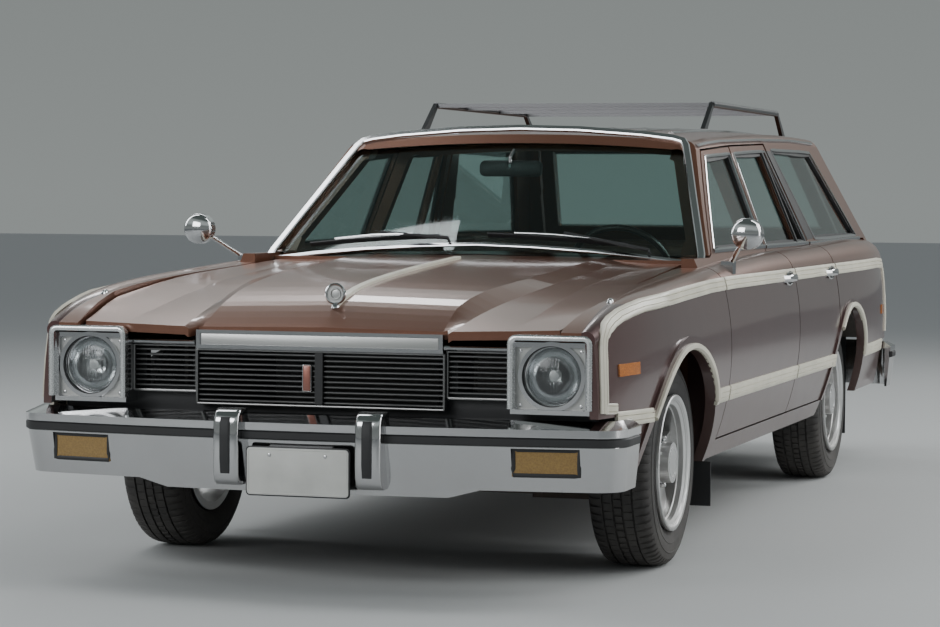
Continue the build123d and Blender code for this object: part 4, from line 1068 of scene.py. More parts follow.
# %%  Repeating, joining and moving
def repeated(points, faces, group, material, **values):
    """Points and faces of a small shape, repeated by one of the groups."""
    mesh = bpy.data.meshes.new("seed")
    mesh.from_pydata([tuple(p) for p in points], [], faces)
    seed = bpy.data.objects.new("seed", mesh)
    link_object(seed)
    modifier = seed.modifiers.new("repeat", "NODES")
    modifier.node_group = group
    for item in group.interface.items_tree:
        if item.in_out == "INPUT" and item.name in values:
            modifier[item.identifier] = values[item.name]
        if item.in_out == "INPUT" and item.name == "Finish":
            modifier[item.identifier] = material
    graph = bpy.context.evaluated_depsgraph_get()
    made = bpy.data.meshes.new_from_object(seed.evaluated_get(graph))
    result = part_of(made)
    bpy.data.objects.remove(seed)
    bpy.data.meshes.remove(made)
    return result


def joined(parts):
    """Several (points, faces) pairs as one."""
    points, faces = [], []
    for some_points, some_faces in parts:
        start = len(points)
        points += [Vector(p) for p in some_points]
        faces += [[start + i for i in f] for f in some_faces]
    return points, faces


def moved_to(part, place, flip=False):
    """A part moved by a vector, mirrored across the car if asked."""
    points = [Vector(p) + Vector(place) for p in part[0]]
    if flip:
        points = mirrored(points)
    return points, part[1]


def hand_part(part, side):
    """A part of the left side, moved to the side asked for."""
    return on_hand(part[0], side), part[1]


def both_sides(part):
    """A part of the left side with its mirror image."""
    return joined([part, hand_part(part, -1)])


print("part helpers ready")

# %% [markdown]
# ### Slabs and turned shapes
#
# Two more shapes come back often: a thin slab with a soft edge, cut from any outline, and a
# shape turned on a lathe round an axis.

# %%  Slab and lathe
def rounded_outline(width, height, radius, steps=5):
    """A rectangle with round corners, as (u, v) points."""
    outline = []
    for cx, cy, start in ((1, 1, 0), (-1, 1, 90), (-1, -1, 180), (1, -1, 270)):
        for i in range(steps + 1):
            a = radians(start + 90 * i / steps)
            outline.append((cx * (width / 2 - radius) + radius * cos(a),
                            cy * (height / 2 - radius) + radius * sin(a)))
    return outline


def slab(outline, depth, edge, origin, u, v):
    """Points and faces of a slab that stands out along u x v, with its edge taken off."""
    u, v, origin = Vector(u), Vector(v), Vector(origin)
    w = u.cross(v)
    reach_u = max(abs(p[0]) for p in outline)
    reach_v = max(abs(p[1]) for p in outline)
    points, count = [], len(outline)
    for rise, inset in ((0, 0), (depth - edge, 0), (depth - edge * 0.3, edge * 0.3), (depth, edge)):
        for a, b in outline:
            points.append(origin + u * a * (1 - inset / reach_u) + v * b * (1 - inset / reach_v) + w * rise)
    faces = []
    for ring in range(3):
        for k in range(count):
            n = (k + 1) % count
            faces.append([ring * count + k, ring * count + n, (ring + 1) * count + n, (ring + 1) * count + k])
    faces.append([3 * count + k for k in range(count)])
    faces.append([k for k in range(count)][::-1])
    return points, faces


def lathe(profile, origin, axis, across, steps=48):
    """Points and faces turned round an axis; the profile is (along, radius) pairs."""
    axis, across = Vector(axis).normalized(), Vector(across).normalized()
    other = axis.cross(across)
    points, faces = [], []
    count = len(profile)
    for i in range(steps):
        a = 2 * pi * i / steps
        for along, radius in profile:
            points.append(Vector(origin) + axis * along + (across * cos(a) + other * sin(a)) * radius)
    for i in range(steps):
        a, b = i * count, ((i + 1) % steps) * count
        faces += [[a + k, a + k + 1, b + k + 1, b + k] for k in range(count - 1)]
    return points, faces


# %% [markdown]
# ## The front bumper
#
# The bumper is a chromed channel with a black rubber strip let into its groove.  The strip
# follows the same three arcs as the metal.  The upright guards carry a rubber face each, and
# the blank licence plate hangs between them.

# %%  Bumper strips
def circle_arc(a, m, b, steps):
    """Points on the circle through three points of a plane."""
    (ax, ay), (mx, my), (bx, by) = a, m, b
    d = 2 * (ax * (my - by) + mx * (by - ay) + bx * (ay - my))
    sa, sm, sb = ax * ax + ay * ay, mx * mx + my * my, bx * bx + by * by
    cx = (sa * (my - by) + sm * (by - ay) + sb * (ay - my)) / d
    cy = (sa * (bx - mx) + sm * (ax - bx) + sb * (mx - ax)) / d
    start, stop = atan2(ay - cy, ax - cx), atan2(by - cy, bx - cx)
    turn = (stop - start + pi) % (2 * pi) - pi
    radius = hypot(ax - cx, ay - cy)
    return [(cx + radius * cos(start + turn * i / steps), cy + radius * sin(start + turn * i / steps))
            for i in range(steps + 1)]


def bumper_line(face, turn, back, tail, steps=48):
    """Plan line of a bumper's face, drawn back, from the right end to the left."""
    bend, side = 0.860 - back / 2, 0.925 - back / 2
    near = face - turn * back
    front = circle_arc((-bend, near - turn * 0.075), (0, near), (bend, near - turn * 0.075), steps)
    corner = circle_arc((bend, near - turn * 0.075), (bend + 0.043, near - turn * 0.100),
                        (side, near - turn * 0.150), 8)
    left = corner[1:] + [(side, near - turn * 0.150 + (tail - near + turn * 0.150) * i / 4)
                         for i in range(1, 5)]
    return [(-x, y) for x, y in left[::-1]] + front + left


def line_facing(line, turn):
    """Outward directions along a plan line."""
    facing = []
    for i in range(len(line)):
        a, b = line[max(i - 1, 0)], line[min(i + 1, len(line) - 1)]
        facing.append(Vector((b[1] - a[1], a[0] - b[0], 0)).normalized() * -turn)
    return facing


strip_section = [(-0.003, -0.0125), (0.008, -0.0125), (0.0115, -0.009), (0.0115, 0.009), (0.008, 0.0125),
                 (-0.003, 0.0125)]
BUMPERS = (("front", -2.530, -1, -2.255), ("rear", 2.530, 1, 2.275))
for place, face, turn, tail in BUMPERS:
    line = bumper_line(face, turn, 0.013, tail)
    sweep(f"{place}_bumper_strip", [Vector((x, y, 0.452)) for x, y in line], line_facing(line, turn),
          strip_section,
          strip_rubber)
print("bumper strips:", len(line), "points each")


# %%  Guards with rubber faces
GUARD_PROFILE = [(0.308, 0.026), (0.314, 0.014), (0.322, 0.008), (0.342, 0.002), (0.380, 0.0), (0.450, 0.0),
                 (0.490, 0.002), (0.503, 0.006), (0.514, 0.013), (0.521, 0.022), (0.5255, 0.034)]


def upright(x, turn, half, face, heart, profile, radius):
    """An upright bar with round front corners, lofted through its profile."""
    points, faces = [], []
    for z, back in profile:
        front = face - back
        ring = [(-half, heart)]
        for sign, start in ((-1, 180), (1, 90)):
            for i in range(4):
                a = radians(start - 30 * i)
                ring.append((sign * (half - radius) + radius * cos(a), front - radius + radius * sin(a)))
        ring.append((half, heart))
        points += [Vector((x + px, turn * py, z)) for px, py in ring]
    count = 10
    for level in range(len(profile) - 1):
        for k in range(count):
            n = (k + 1) % count
            faces.append([level * count + k, level * count + n, (level + 1) * count + n,
                          (level + 1) * count + k])
    faces.append([k for k in range(count)])
    faces.append([(len(profile) - 1) * count + k for k in range(count)][::-1])
    return points, faces


metal, rubber = [], []
for turn in (-1, 1):
    for x in (-0.215, 0.215):
        metal.append(upright(x, turn, 0.0393, 2.559, 2.484, GUARD_PROFILE, 0.012))
        rubber.append(upright(x, turn, 0.0155, 2.5648, 2.550,
                              [(z, b + 0.004 * (z < 0.345 or z > 0.492)) for z, b in GUARD_PROFILE[3:8]],
                              0.005))
guards = from_faces("guards_chrome", *joined(metal), chrome, "body", 40)
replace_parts(guards, "bumper_guards")
from_faces("guards_rubber", *joined(rubber), strip_rubber)
print("guards made")


# %%  Blank licence plate
plate_enamel = moulded("plate_enamel", (0.62, 0.62, 0.58), 0.35, 200.0, 0.02)
outline = rounded_outline(0.308, 0.134, 0.010)
centre = (0, -2.5395, 0.351)
from_faces("plate_blank", *slab(outline, 0.0022, 0.0008, centre, LEFT, UP), plate_enamel)
rim = [Vector((centre[0] + u * 0.97, centre[1] - 0.0022, centre[2] + v * 0.93)) for u, v in outline]
sweep("plate_raised_edge", rim, AHEAD, round_section(0.0014, 8), plate_enamel, closed=True)
holder = joined([slab(rounded_outline(0.316, 0.142, 0.012), 0.004, 0.001, (0, -2.5353, 0.351), LEFT, UP),
                 slab(rounded_outline(0.200, 0.050, 0.006), 0.036, 0.002, (0, -2.500, 0.395), LEFT, UP),
                 slab(rounded_outline(0.200, 0.030, 0.006), 0.050, 0.002, (0, -2.486, 0.310), LEFT, UP)])
from_faces("plate_holder", *holder, trim_black)
screw_head = lathe([(0.0, 0.0055), (0.0016, 0.0052), (0.0026, 0.0036), (0.0030, 0.0)], (0, 0, 0), AHEAD, LEFT,
                   14)
screws = joined([moved_to(screw_head, (x, -2.5415, 0.398)) for x in (-0.085, 0.085)])
from_faces("plate_screws", *screws, bright_trim)
print("plate hung")

# %% [markdown]
# ## Lamps at the front
#
# Each headlamp is a reflector bowl, a ribbed glass and a bright ring, set in a square bezel
# whose floor is a duller panel with four screws.  The turn lamps sit in pockets of the bumper.

# %%  Headlamps
LAMP = Vector((0.709, -2.371, 0.632))


def lamp_lens(radius, rings=18, segments=96):
    """A domed lens with upright flutes on it."""
    points, faces = [Vector((LAMP.x, LAMP.y - 0.021, LAMP.z))], []
    for r in range(1, rings + 1):
        size = radius * r / rings
        for s in range(segments):
            a = 2 * pi * s / segments
            x, z = size * cos(a), size * sin(a)
            dome = 0.021 * (1 - (size / radius) ** 2)
            flute = 0.0011 * cos(2 * pi * x / 0.0085) * (1 - (size / radius) ** 8)
            if abs(z) < 0.017:
                flute = 0.0010 * cos(2 * pi * x / 0.0170)
            points.append(LAMP + Vector((x, -dome - flute, z)))
    faces += [[0, 1 + s, 1 + (s + 1) % segments] for s in range(segments)]
    for r in range(rings - 1):
        for s in range(segments):
            n = (s + 1) % segments
            faces.append([1 + r * segments + s, 1 + (r + 1) * segments + s, 1 + (r + 1) * segments + n,
                          1 + r * segments + n])
    return points, faces


reflector = chrome_material("lamp_reflector", (0.74, 0.75, 0.76), (0.16, 0.30), 0.1)
satin = chrome_material("satin_silver", (0.50, 0.50, 0.49), (0.34, 0.52), 0.5)
grille_edge = chrome_material("grille_edge", (0.22, 0.22, 0.22), (0.30, 0.50), 0.5)
lens = from_faces("headlamp_lenses", *both_sides(lamp_lens(0.080)), lamp_glass, "body", 60)
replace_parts(lens, "headlamps")
bowl_profile = [(0.0, 0.0815), (0.012, 0.078), (0.030, 0.066), (0.045, 0.050), (0.056, 0.030), (0.060, 0.012),
                (0.060, 0.0)]
from_faces("headlamp_bowls", *both_sides(lathe(bowl_profile, LAMP, ASTERN, LEFT, 64)), reflector, "body", 60)
shield = lathe([(-0.004, 0.0), (-0.002, 0.014), (0.010, 0.017), (0.026, 0.015)], LAMP, ASTERN, LEFT, 24)
from_faces("headlamp_shields", *both_sides(shield), satin, "body", 60)
ring_profile = [(-0.003, 0.0795), (-0.008, 0.0805), (-0.0105, 0.0835), (-0.009, 0.0855), (0.004, 0.0856),
                (0.004, 0.0795)]
from_faces("headlamp_rings", *both_sides(lathe(ring_profile, LAMP, ASTERN, LEFT, 72)), bright_trim, crease=40)
# A black ring over the bezel face round each lens is painted shade: it stands in for the dark gap between the
# bright ring and the bezel floor.
gap_shade_profile = [(-0.0225, 0.0838), (-0.0322, 0.0838), (-0.0330, 0.0850), (-0.0330, 0.0965), (-0.0322, 0.0977),
                (-0.0225, 0.0977), (-0.0225, 0.0838)]
from_faces("headlamp_gap_shade", *both_sides(lathe(gap_shade_profile, LAMP, ASTERN, LEFT, 72)), trim_black, "body", 40)
print("headlamps made")


# %%  Bezel floors and screws
def holed_panel(centre, half_u, half_v, hole, y, depth=0.0012, steps=72):
    """A rectangle in the XZ plane with a round hole, as a ring of faces."""
    points, faces = [], []
    for s in range(steps):
        a = 2 * pi * (s + 0.5) / steps
        c, d = cos(a), sin(a)
        reach = min(half_u[c > 0] / max(abs(c), 1e-6), half_v[d > 0] / max(abs(d), 1e-6))
        for r in (hole, reach):
            points += [Vector((centre[0] + r * c, y, centre[1] + r * d)),
                       Vector((centre[0] + r * c, y - depth, centre[1] + r * d))]
    for s in range(steps):
        i, j = 4 * s, 4 * ((s + 1) % steps)
        faces += [[i + 1, i + 3, j + 3, j + 1], [i, i + 1, j + 1, j], [i + 3, i + 2, j + 2, j + 3],
                  [i + 2, i, j, j + 2]]
    return points, faces


BEZEL_X, BEZEL_Z = (0.603, 0.808), (0.538, 0.715)
panel = holed_panel((LAMP.x, LAMP.z), (LAMP.x - BEZEL_X[0] - 0.0006, BEZEL_X[1] - LAMP.x - 0.0006),
                    (LAMP.z - BEZEL_Z[0] - 0.0006, BEZEL_Z[1] - LAMP.z - 0.0006), 0.0984, -2.3957)
from_faces("bezel_floors", *both_sides(panel), satin)
heads = joined([moved_to(screw_head, (x, -2.3968, z)) for x in (BEZEL_X[0] + 0.013, BEZEL_X[1] - 0.014)
                for z in (BEZEL_Z[0] + 0.012, BEZEL_Z[1] - 0.012)])
from_faces("bezel_screws", *both_sides(heads), bright_trim)
print("bezels finished")


# %%  Turn lamp frames
def lamp_frame(x0, x1, z0, z1, back, steps=14):
    """Closed path round a turn lamp, on the bumper's own curve."""
    line = bumper_line(-2.530, -1, back, -2.255, 200)
    def on_line(x):
        for (xa, ya), (xb, yb) in zip(line, line[1:]):
            if xa <= x <= xb and xb > xa:
                return ya + (yb - ya) * (x - xa) / (xb - xa)
        return line[-1][1]
    low = [(x0 + (x1 - x0) * i / steps, z0) for i in range(steps)]
    high = [(x1 - (x1 - x0) * i / steps, z1) for i in range(steps)]
    loop = low + [(x1, z0 + (z1 - z0) * i / 4) for i in range(4)] + high + [(x0, z1 - (z1 - z0) * i / 4)
            for i in range(4)]
    return [Vector((x, on_line(x), z)) for x, z in loop]


frame_section = [(-0.006, -0.0058), (0.003, -0.0058), (0.0045, -0.003), (0.0045, 0.003), (0.003, 0.0058),
                 (-0.006, 0.0058)]
for hand, side in SIDES:
    loop = on_hand(lamp_frame(0.6180, 0.8020, 0.3585, 0.4300, 0.021), side)
    sweep(f"turn_lamp_frame_{hand}", loop, Vector((0.10 * side, -1, 0)), frame_section, trim_black, closed=True)
print("turn lamp frames made")

# %% [markdown]
# ## The grille
#
# The bars of the CAD grille are painted black here, and each wears a thin bright edge, which
# is what catches the light on the real one.  A slim bronze bar stands in the middle.

# %%  Grille edges
def small_bar(width, height, depth):
    """A bar with its front corners taken off, centred at the origin, facing -Y."""
    w, h, c = width / 2, height / 2, min(height, depth) * 0.3
    ring = [(0, -h), (-(depth - c), -h), (-depth, -h + c), (-depth, h - c), (-(depth - c), h), (0, h)]
    points = [Vector((x, y, z)) for x in (-w, w) for y, z in ring]
    faces = [[k, (k + 1) % 6, 6 + (k + 1) % 6, 6 + k] for k in range(6)] + [[5, 4, 3, 2, 1, 0],
            [6, 7, 8, 9, 10, 11]]
    return points, faces


dress(trim_black, "grille")
centre_edges = repeated(*small_bar(0.372, 0.0030, 0.0018), repeat_line, grille_edge, Count=10,
                        Step=(0, 0, 0.0152))
outer_edges = repeated(*small_bar(0.192, 0.0030, 0.0018), repeat_line, grille_edge, Count=8, Step=(0, 0, 0.015))
edges = joined([moved_to(centre_edges, (0.199, -2.3629, 0.536)),
                moved_to(outer_edges, (0.487, -2.3529, 0.575))])
from_faces("grille_bar_edges", *both_sides(edges), grille_edge)


def rectangle_path(x0, x1, z0, z1, y, radius=0.004):
    """Closed path round a rectangle in the XZ plane."""
    outline = rounded_outline(x1 - x0, z1 - z0, radius, 3)
    return [Vector(((x0 + x1) / 2 + u, y, (z0 + z1) / 2 + v)) for u, v in outline]


surround = [(-0.002, -0.003), (0.0015, -0.003), (0.0025, 0.0), (0.0015, 0.003), (-0.002, 0.003)]
sweep("grille_centre_surround", rectangle_path(-0.381, 0.381, 0.5255, 0.6845, -2.3705), AHEAD, surround,
      grille_edge, closed=True)
for hand, side in SIDES:
    loop = rectangle_path(0.3875, 0.5865, 0.560, 0.694, -2.3602)
    sweep(f"grille_outer_surround_{hand}", on_hand(loop, side), AHEAD, surround,
          grille_edge, closed=True)
bronze = paint_material("bronze_enamel", (0.20, 0.062, 0.045), (0.38, 0.15, 0.11))
from_faces("grille_centre_bar",
           *slab(rounded_outline(0.022, 0.073, 0.003), 0.0035, 0.001, (-0.036, -2.3730, 0.607), LEFT, UP),
           bronze)
sweep("grille_centre_bar_edge", rectangle_path(-0.0485, -0.0235, 0.569, 0.645, -2.3735, 0.003), AHEAD,
      round_section(0.0016, 8), bright_trim, closed=True)
header_face = slab(rounded_outline(0.732, 0.0316, 0.003), 0.0016, 0.0006, (0, -2.3768, 0.715), LEFT, UP)
from_faces("header_bare_face", *header_face, satin)
print("grille finished")

# %% [markdown]
# ## Wheels and tyres
#
# A tyre is one pitch of tread, five degrees of the circle, repeated 72 times by the node group.
# The pitch carries the circumferential grooves in its profile and a cross slot at one end, so
# the repeats make blocks.  The wheel gets a polished ring, a dark hub cap, nuts and a drum.

# %%  One pitch of tyre
TYRE_HALF = [(0.084, 0.2085), (0.0885, 0.2150), (0.0940, 0.2270), (0.0975, 0.2400), (0.0992, 0.2480),
             (0.0978, 0.2500), (0.0990, 0.2620), (0.0978, 0.2740), (0.0993, 0.2755), (0.0991, 0.2780),
             (0.0970, 0.2795), (0.0935, 0.2960), (0.0875, 0.3065), (0.0800, 0.3125), (0.0700, 0.3160),
             (0.0490, 0.3180), (0.0485, 0.3115), (0.0430, 0.3115), (0.0425, 0.3185), (0.0170, 0.3195),
             (0.0165, 0.3130), (0.0110, 0.3130), (0.0105, 0.3197)]
TYRE_PROFILE = TYRE_HALF + [(-x, r) for x, r in TYRE_HALF[::-1]]
PITCHES = 72


def tyre_pitch():
    """Points and faces of one tread pitch, with slots across its ribs."""
    shares = [0.0, 0.14, 0.18, 0.50, 0.54, 0.62, 0.66, 1.0]
    points, faces = [], []
    for index, share in enumerate(shares):
        a = 2 * pi * share / PITCHES
        for x, r in TYRE_PROFILE:
            wide = abs(x)
            if 0.049 < wide < 0.090 and r > 0.300 and index in (0, 1, 7):
                r -= 0.0065 if wide > 0.060 else 0.005
            if (0.0170 < wide < 0.0426 and r > 0.317 and index in (4, 5)) or (wide < 0.0107
                    and index in (0, 1, 7)):
                r -= 0.0045
            points.append(Vector((x, r * cos(a), r * sin(a))))
    count = len(TYRE_PROFILE)
    for i in range(len(shares) - 1):
        for k in range(count - 1):
            a, b = i * count + k, (i + 1) * count + k
            faces.append([a, a + 1, b + 1, b])
    return points, faces


tyre = repeated(*tyre_pitch(), repeat_round, tyre_rubber, Count=PITCHES)
print("tyre:", len(tyre[1]), "faces")

# %% [markdown]
# ### Rings, hub cap and nuts
#
# These shapes are turned round the X axis, with the distance outwards first and the radius
# second, so the numbers read like a section drawing.

# %%  Wheel trim shapes
OUT, ACROSS = LEFT, ASTERN
ORIGIN = (0, 0, 0)
trim_ring = lathe([(0.0960, 0.2105), (0.1030, 0.2095), (0.1050, 0.2060), (0.1042, 0.2010), (0.1000, 0.1955),
                   (0.0985, 0.1950), (0.0970, 0.1925), (0.0880, 0.1880), (0.0780, 0.1840), (0.0715, 0.1795),
                   (0.0700, 0.1750)],
                   ORIGIN, OUT, ACROSS, 96)
hub_cap = lathe([(0.045, 0.0660), (0.056, 0.0655), (0.060, 0.0610), (0.062, 0.0560), (0.088, 0.0525),
                 (0.094, 0.0490), (0.096, 0.0430), (0.0935, 0.0410), (0.0945, 0.0260), (0.0965, 0.0120),
                 (0.0970, 0.0)], ORIGIN, OUT, ACROSS, 64)
hub_ring = lathe([(0.0585, 0.0560), (0.0605, 0.0655), (0.0640, 0.0650), (0.0655, 0.0615), (0.0640, 0.0560)],
                 ORIGIN, OUT, ACROSS, 64)
cap_rim = lathe([(0.0945, 0.0485), (0.0985, 0.0470), (0.0985, 0.0430), (0.0945, 0.0415)], ORIGIN, OUT, ACROSS,
                64)
drum = lathe([(-0.020, 0.112), (-0.019, 0.1400), (-0.011, 0.1420), (-0.009, 0.1370), (0.010, 0.1350),
              (0.018, 0.1290), (0.019, 0.0700), (0.024, 0.0500), (0.024, 0.0)], ORIGIN, OUT, ACROSS, 72)


def hex_nut(radius, start, height):
    """A wheel nut that stands out at a distance from the axle."""
    points = [Vector((start, radius + 0.0100 * cos(pi / 3 * k), 0.0100 * sin(pi / 3 * k))) for k in range(6)]
    for rise, size in ((0.75, 0.0100), (0.92, 0.0080), (1.0, 0.0045)):
        points += [Vector((start + height * rise, radius + size * cos(pi / 3 * k), size * sin(pi / 3 * k)))
                   for k in range(6)]
    faces = [[6 * r + k, 6 * r + (k + 1) % 6, 6 * r + 6 + (k + 1) % 6, 6 * r + 6 + k] for r in range(3)
             for k in range(6)]
    return points, faces + [[18 + k for k in range(6)]]


nuts = repeated(*hex_nut(0.0760, 0.044, 0.026), repeat_round, bright_trim, Count=5)
cap_black = moulded("hub_cap_black", (0.022, 0.022, 0.023), 0.34, 900.0, 0.06)
print("wheel trim shapes made")


# %%  Fit the four wheels
AXLE_Z = 0.32
WHEELS = (("front_left", 0.762, -1.564, 1), ("front_right", 0.762, -1.564, -1), ("rear_left", 0.743, 1.299, 1),
          ("rear_right", 0.743, 1.299, -1))
for corner, x, y, side in WHEELS:
    body = f"wheel_{corner}"
    fitted = {}
    for label, shape, material, crease in (
            ("tyre_tread", tyre, tyre_rubber, 40), ("trim_ring", trim_ring, wheel_metal, 30),
            ("hub_cap", hub_cap, cap_black, 30), ("hub_rings", joined([hub_ring, cap_rim]), bright_trim, 30),
            ("brake_drum", drum, block_metal, 30), ("wheel_nuts", nuts, bright_trim, 30)):
        points, faces = moved_to(shape, (x, y, AXLE_Z), flip=side < 0)
        fitted[label] = from_faces(f"{label}_{corner}", points, faces, material, body, crease)
    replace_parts(fitted["tyre_tread"], f"tyre_{corner}")
print("wheels fitted")

# %% [markdown]
# ## The cabin
#
# The seats are benches in brown vinyl.  Each pad starts as a slightly small bevelled block, is
# remeshed into even quads and blown up by a short cloth run, which gives the crown and the soft
# corners of real foam.  The sewn channels are pressed in afterwards, because a channel is
# narrower than a quad of the simulated mesh.

# %%  Blowing up a pad
def pad_block(x, y, z, lean=0.0, bevel=0.035):
    """A bevelled block between pairs of limits, leaning back with height."""
    shape = bmesh.new()
    bmesh.ops.create_cube(shape, size=1.0)
    for v in shape.verts:
        place = [(lo + hi) / 2 + c * (hi - lo) for (lo, hi), c in zip((x, y, z), v.co)]
        v.co = Vector((place[0], place[1] + lean * (place[2] - z[0]), place[2]))
    bmesh.ops.bevel(shape, geom=list(shape.edges), offset=bevel, segments=3, profile=0.6, affect="EDGES")
    mesh = bpy.data.meshes.new("pad")
    shape.to_mesh(mesh)
    shape.free()
    return mesh


def evaluated_copy(thing):
    """The mesh that an object shows with its modifiers."""
    graph = bpy.context.evaluated_depsgraph_get()
    return bpy.data.meshes.new_from_object(thing.evaluated_get(graph))


def inflate(mesh, voxel=0.016, pressure=4.0, cap=0.024, frames=20):
    """Remesh a block and swell it with a short cloth run."""
    thing = bpy.data.objects.new("pad", mesh)
    link_object(thing)
    remesh = thing.modifiers.new("remesh", "REMESH")
    remesh.mode = "VOXEL"
    remesh.voxel_size = voxel
    even = evaluated_copy(thing)
    thing.modifiers.clear()
    thing.data = even
    start = [v.co.copy() for v in even.vertices]
    cloth = thing.modifiers.new("cloth", "CLOTH")
    cloth.settings.quality = 4
    cloth.settings.use_pressure = True
    cloth.settings.uniform_pressure_force = pressure
    cloth.settings.effector_weights.gravity = 0.0
    for step in range(1, frames + 1):
        bpy.context.scene.frame_set(step)
    blown = evaluated_copy(thing)
    thing.modifiers.clear()
    bpy.context.scene.frame_set(1)
    for v, old in zip(blown.vertices, start):
        move = v.co - old
        if move.length > cap:
            v.co = old + move.normalized() * cap
    thing.data = blown
    fine = thing.modifiers.new("fine", "SUBSURF")
    fine.levels = fine.render_levels = 1
    result = evaluated_copy(thing)
    bpy.data.objects.remove(thing)
    return result


print("pad tools ready")


# %%  Sewn channels and piping
def press_channels(mesh, lines, along, facing, depth=0.011, width=0.007, limits=None):
    """Press seams into the side of a pad that faces a direction; along is the axis they are counted on."""
    facing = Vector(facing)
    for v, normal in [(v, v.normal.copy()) for v in mesh.vertices]:
        if limits and not all(lo < c < hi for (lo, hi), c in zip(limits, v.co)):
            continue
        toward = max(0.0, normal.dot(facing))
        nearest = min(abs(v.co[along] - line) for line in lines)
        v.co -= normal * depth * exp(-(nearest / width) ** 2) * min(1.0, toward * 2.0)


def piping(name, mesh, outline, direction, material, radius=0.0045):
    """A cord along a closed outline, dropped onto a pad along a direction."""
    tree = BVHTree.FromPolygons(*part_of(mesh))
    path = []
    for start in outline:
        hit = tree.ray_cast(Vector(start), Vector(direction))
        if hit[0]:
            path.append(hit[0] - Vector(direction) * radius * 0.4)
    return sweep(name, path, -Vector(direction), round_section(radius, 8), material, closed=True)


channel_vinyl = moulded("seat_vinyl_piping", (0.052, 0.028, 0.018), 0.45, 800.0, 0.1)
PADS = (("front_cushion", (0.010, 0.672), (-0.405, 0.075), (0.475, 0.590), 0.0, 2, (0, 0, 1)),
        ("front_backrest", (0.010, 0.672), (0.085, 0.160), (0.535, 0.955), 0.085, 1, (0, -1, 0)),
        ("rear_cushion", (0.010, 0.575), (0.440, 0.850), (0.500, 0.612), 0.0, 2, (0, 0, 1)),
        ("rear_backrest", (0.010, 0.575), (0.862, 0.950), (0.600, 0.968), 0.06, 1, (0, -1, 0)))
for name, x, y, z, lean, axis, facing in PADS:
    pad = inflate(pad_block(x, y, z, lean))
    middle, wide = (x[0] + x[1]) / 2, x[1] - x[0]
    lines = [middle + wide * f for f in (-0.30, -0.20, -0.10, 0.0, 0.10, 0.20, 0.30)]
    if axis == 2:
        limits = [(x[0] + 0.10, x[1] - 0.10), (y[0] + 0.085, y[1] + 0.1), (0, 2)]
        outline = [(middle + u, (y[0] + y[1]) / 2 + v, 2.0)
                   for u, v in rounded_outline(wide - 0.105, y[1] - y[0] - 0.075, 0.05, 8)]
    else:
        limits = [(x[0] + 0.10, x[1] - 0.10), (-2, 2), (z[0] - 0.1, z[1] - 0.075)]
        outline = [(middle + u, -2.0, (z[0] + z[1]) / 2 + v)
                   for u, v in rounded_outline(wide - 0.105, z[1] - z[0] - 0.075, 0.05, 8)]
    press_channels(pad, lines, 0, facing, limits=limits)
    for hand, side in SIDES:
        piece = from_faces(f"{name}_{hand}", *hand_part(part_of(pad), side), seat_vinyl, "body", 180)
        piping(f"{name}_piping_{hand}", piece.data, on_hand(outline, side), -Vector(facing), channel_vinyl)
print("pads blown up:", len(PADS) * 2)


# %%  Seat frames and plinths
def soft_block(x, y, z, lean=0.0, bevel=0.02):
    """Points and faces of a bevelled block."""
    return part_of(pad_block(x, y, z, lean, bevel))


front_frame = joined([soft_block((-0.655, 0.655), (-0.375, 0.060), (0.3228, 0.487)),
                      soft_block((-0.668, 0.668), (0.088, 0.128), (0.470, 0.950), 0.085, 0.016)])
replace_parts(from_faces("front_seat_frame", *front_frame, seat_vinyl), "front_seat")
rear_frame = joined([soft_block((-0.560, 0.560), (0.455, 0.560), (0.3228, 0.512)),
                     soft_block((-0.560, 0.560), (0.555, 0.925), (0.486, 0.520)),
                     soft_block((-0.575, 0.575), (0.905, 0.938), (0.5835, 0.962), 0.06, 0.012)])
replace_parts(from_faces("rear_seat_frame", *rear_frame, seat_vinyl), "rear_seat")
print("seat frames made")

# %% [markdown]
# ### Steering wheel and dashboard
#
# The wheel has a thin hard rim with a thicker grip at four places, two broad spokes and a
# padded hub.  The dashboard gets a dark panel with round gauges, a radio, vents and a lid.

# %%  Steering wheel
HUB = Vector((0.370, -0.320, 0.858))
AXLE = Vector((0, 0.906, 0.423)).normalized()
DOWN = AXLE.cross(LEFT)


def wheel_rim(radius=0.1845, steps=120, around=14):
    """A rim with four thicker grips."""
    points, faces = [], []
    for i in range(steps):
        a = 2 * pi * i / steps
        grip = 0.0105 + 0.0016 * max(0.0, cos(4 * a + pi)) ** 2 + 0.0003 * cos(60 * a)
        out = LEFT * cos(a) + DOWN * sin(a)
        for k in range(around):
            b = 2 * pi * k / around
            points.append(HUB + out * (radius + grip * cos(b)) + AXLE * (grip * 1.15 * sin(b) + 0.004))
    for i in range(steps):
        for k in range(around):
            n, j = (k + 1) % around, (i + 1) % steps
            faces.append([i * around + k, i * around + n, j * around + n, j * around + k])
    return points, faces


steering = from_faces("steering_rim", *wheel_rim(), wheel_plastic, "steering_wheel", 60)
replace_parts(steering, "steering_wheel")
spokes = []
for sign in (-1, 1):
    out = Vector((sign * 0.96, 0, 0)) + DOWN * 0.28
    path = [HUB + out * r + AXLE * lift
            for r, lift in ((0.030, -0.008), (0.080, -0.010), (0.140, -0.004), (0.182, 0.004))]
    spokes.append((path, out))
for index, (path, out) in enumerate(spokes):
    name = ("right", "left")[index]
    sweep(f"steering_spoke_{name}", path, AXLE,
          [(-0.005, -0.022), (0.003, -0.022), (0.006, -0.016), (0.006, 0.016), (0.003, 0.022), (-0.005, 0.022)],
          wheel_plastic, "steering_wheel")
    sweep(f"steering_spoke_edge_{name}", [p + AXLE * 0.006 for p in path[1:]], AXLE,
          flat_section(0.020, 0.0015), bright_trim, "steering_wheel")
hub = slab(rounded_outline(0.150, 0.085, 0.030, 8), 0.030, 0.012, HUB - AXLE * 0.012 + DOWN * 0.010, (1, 0, 0),
           -DOWN)
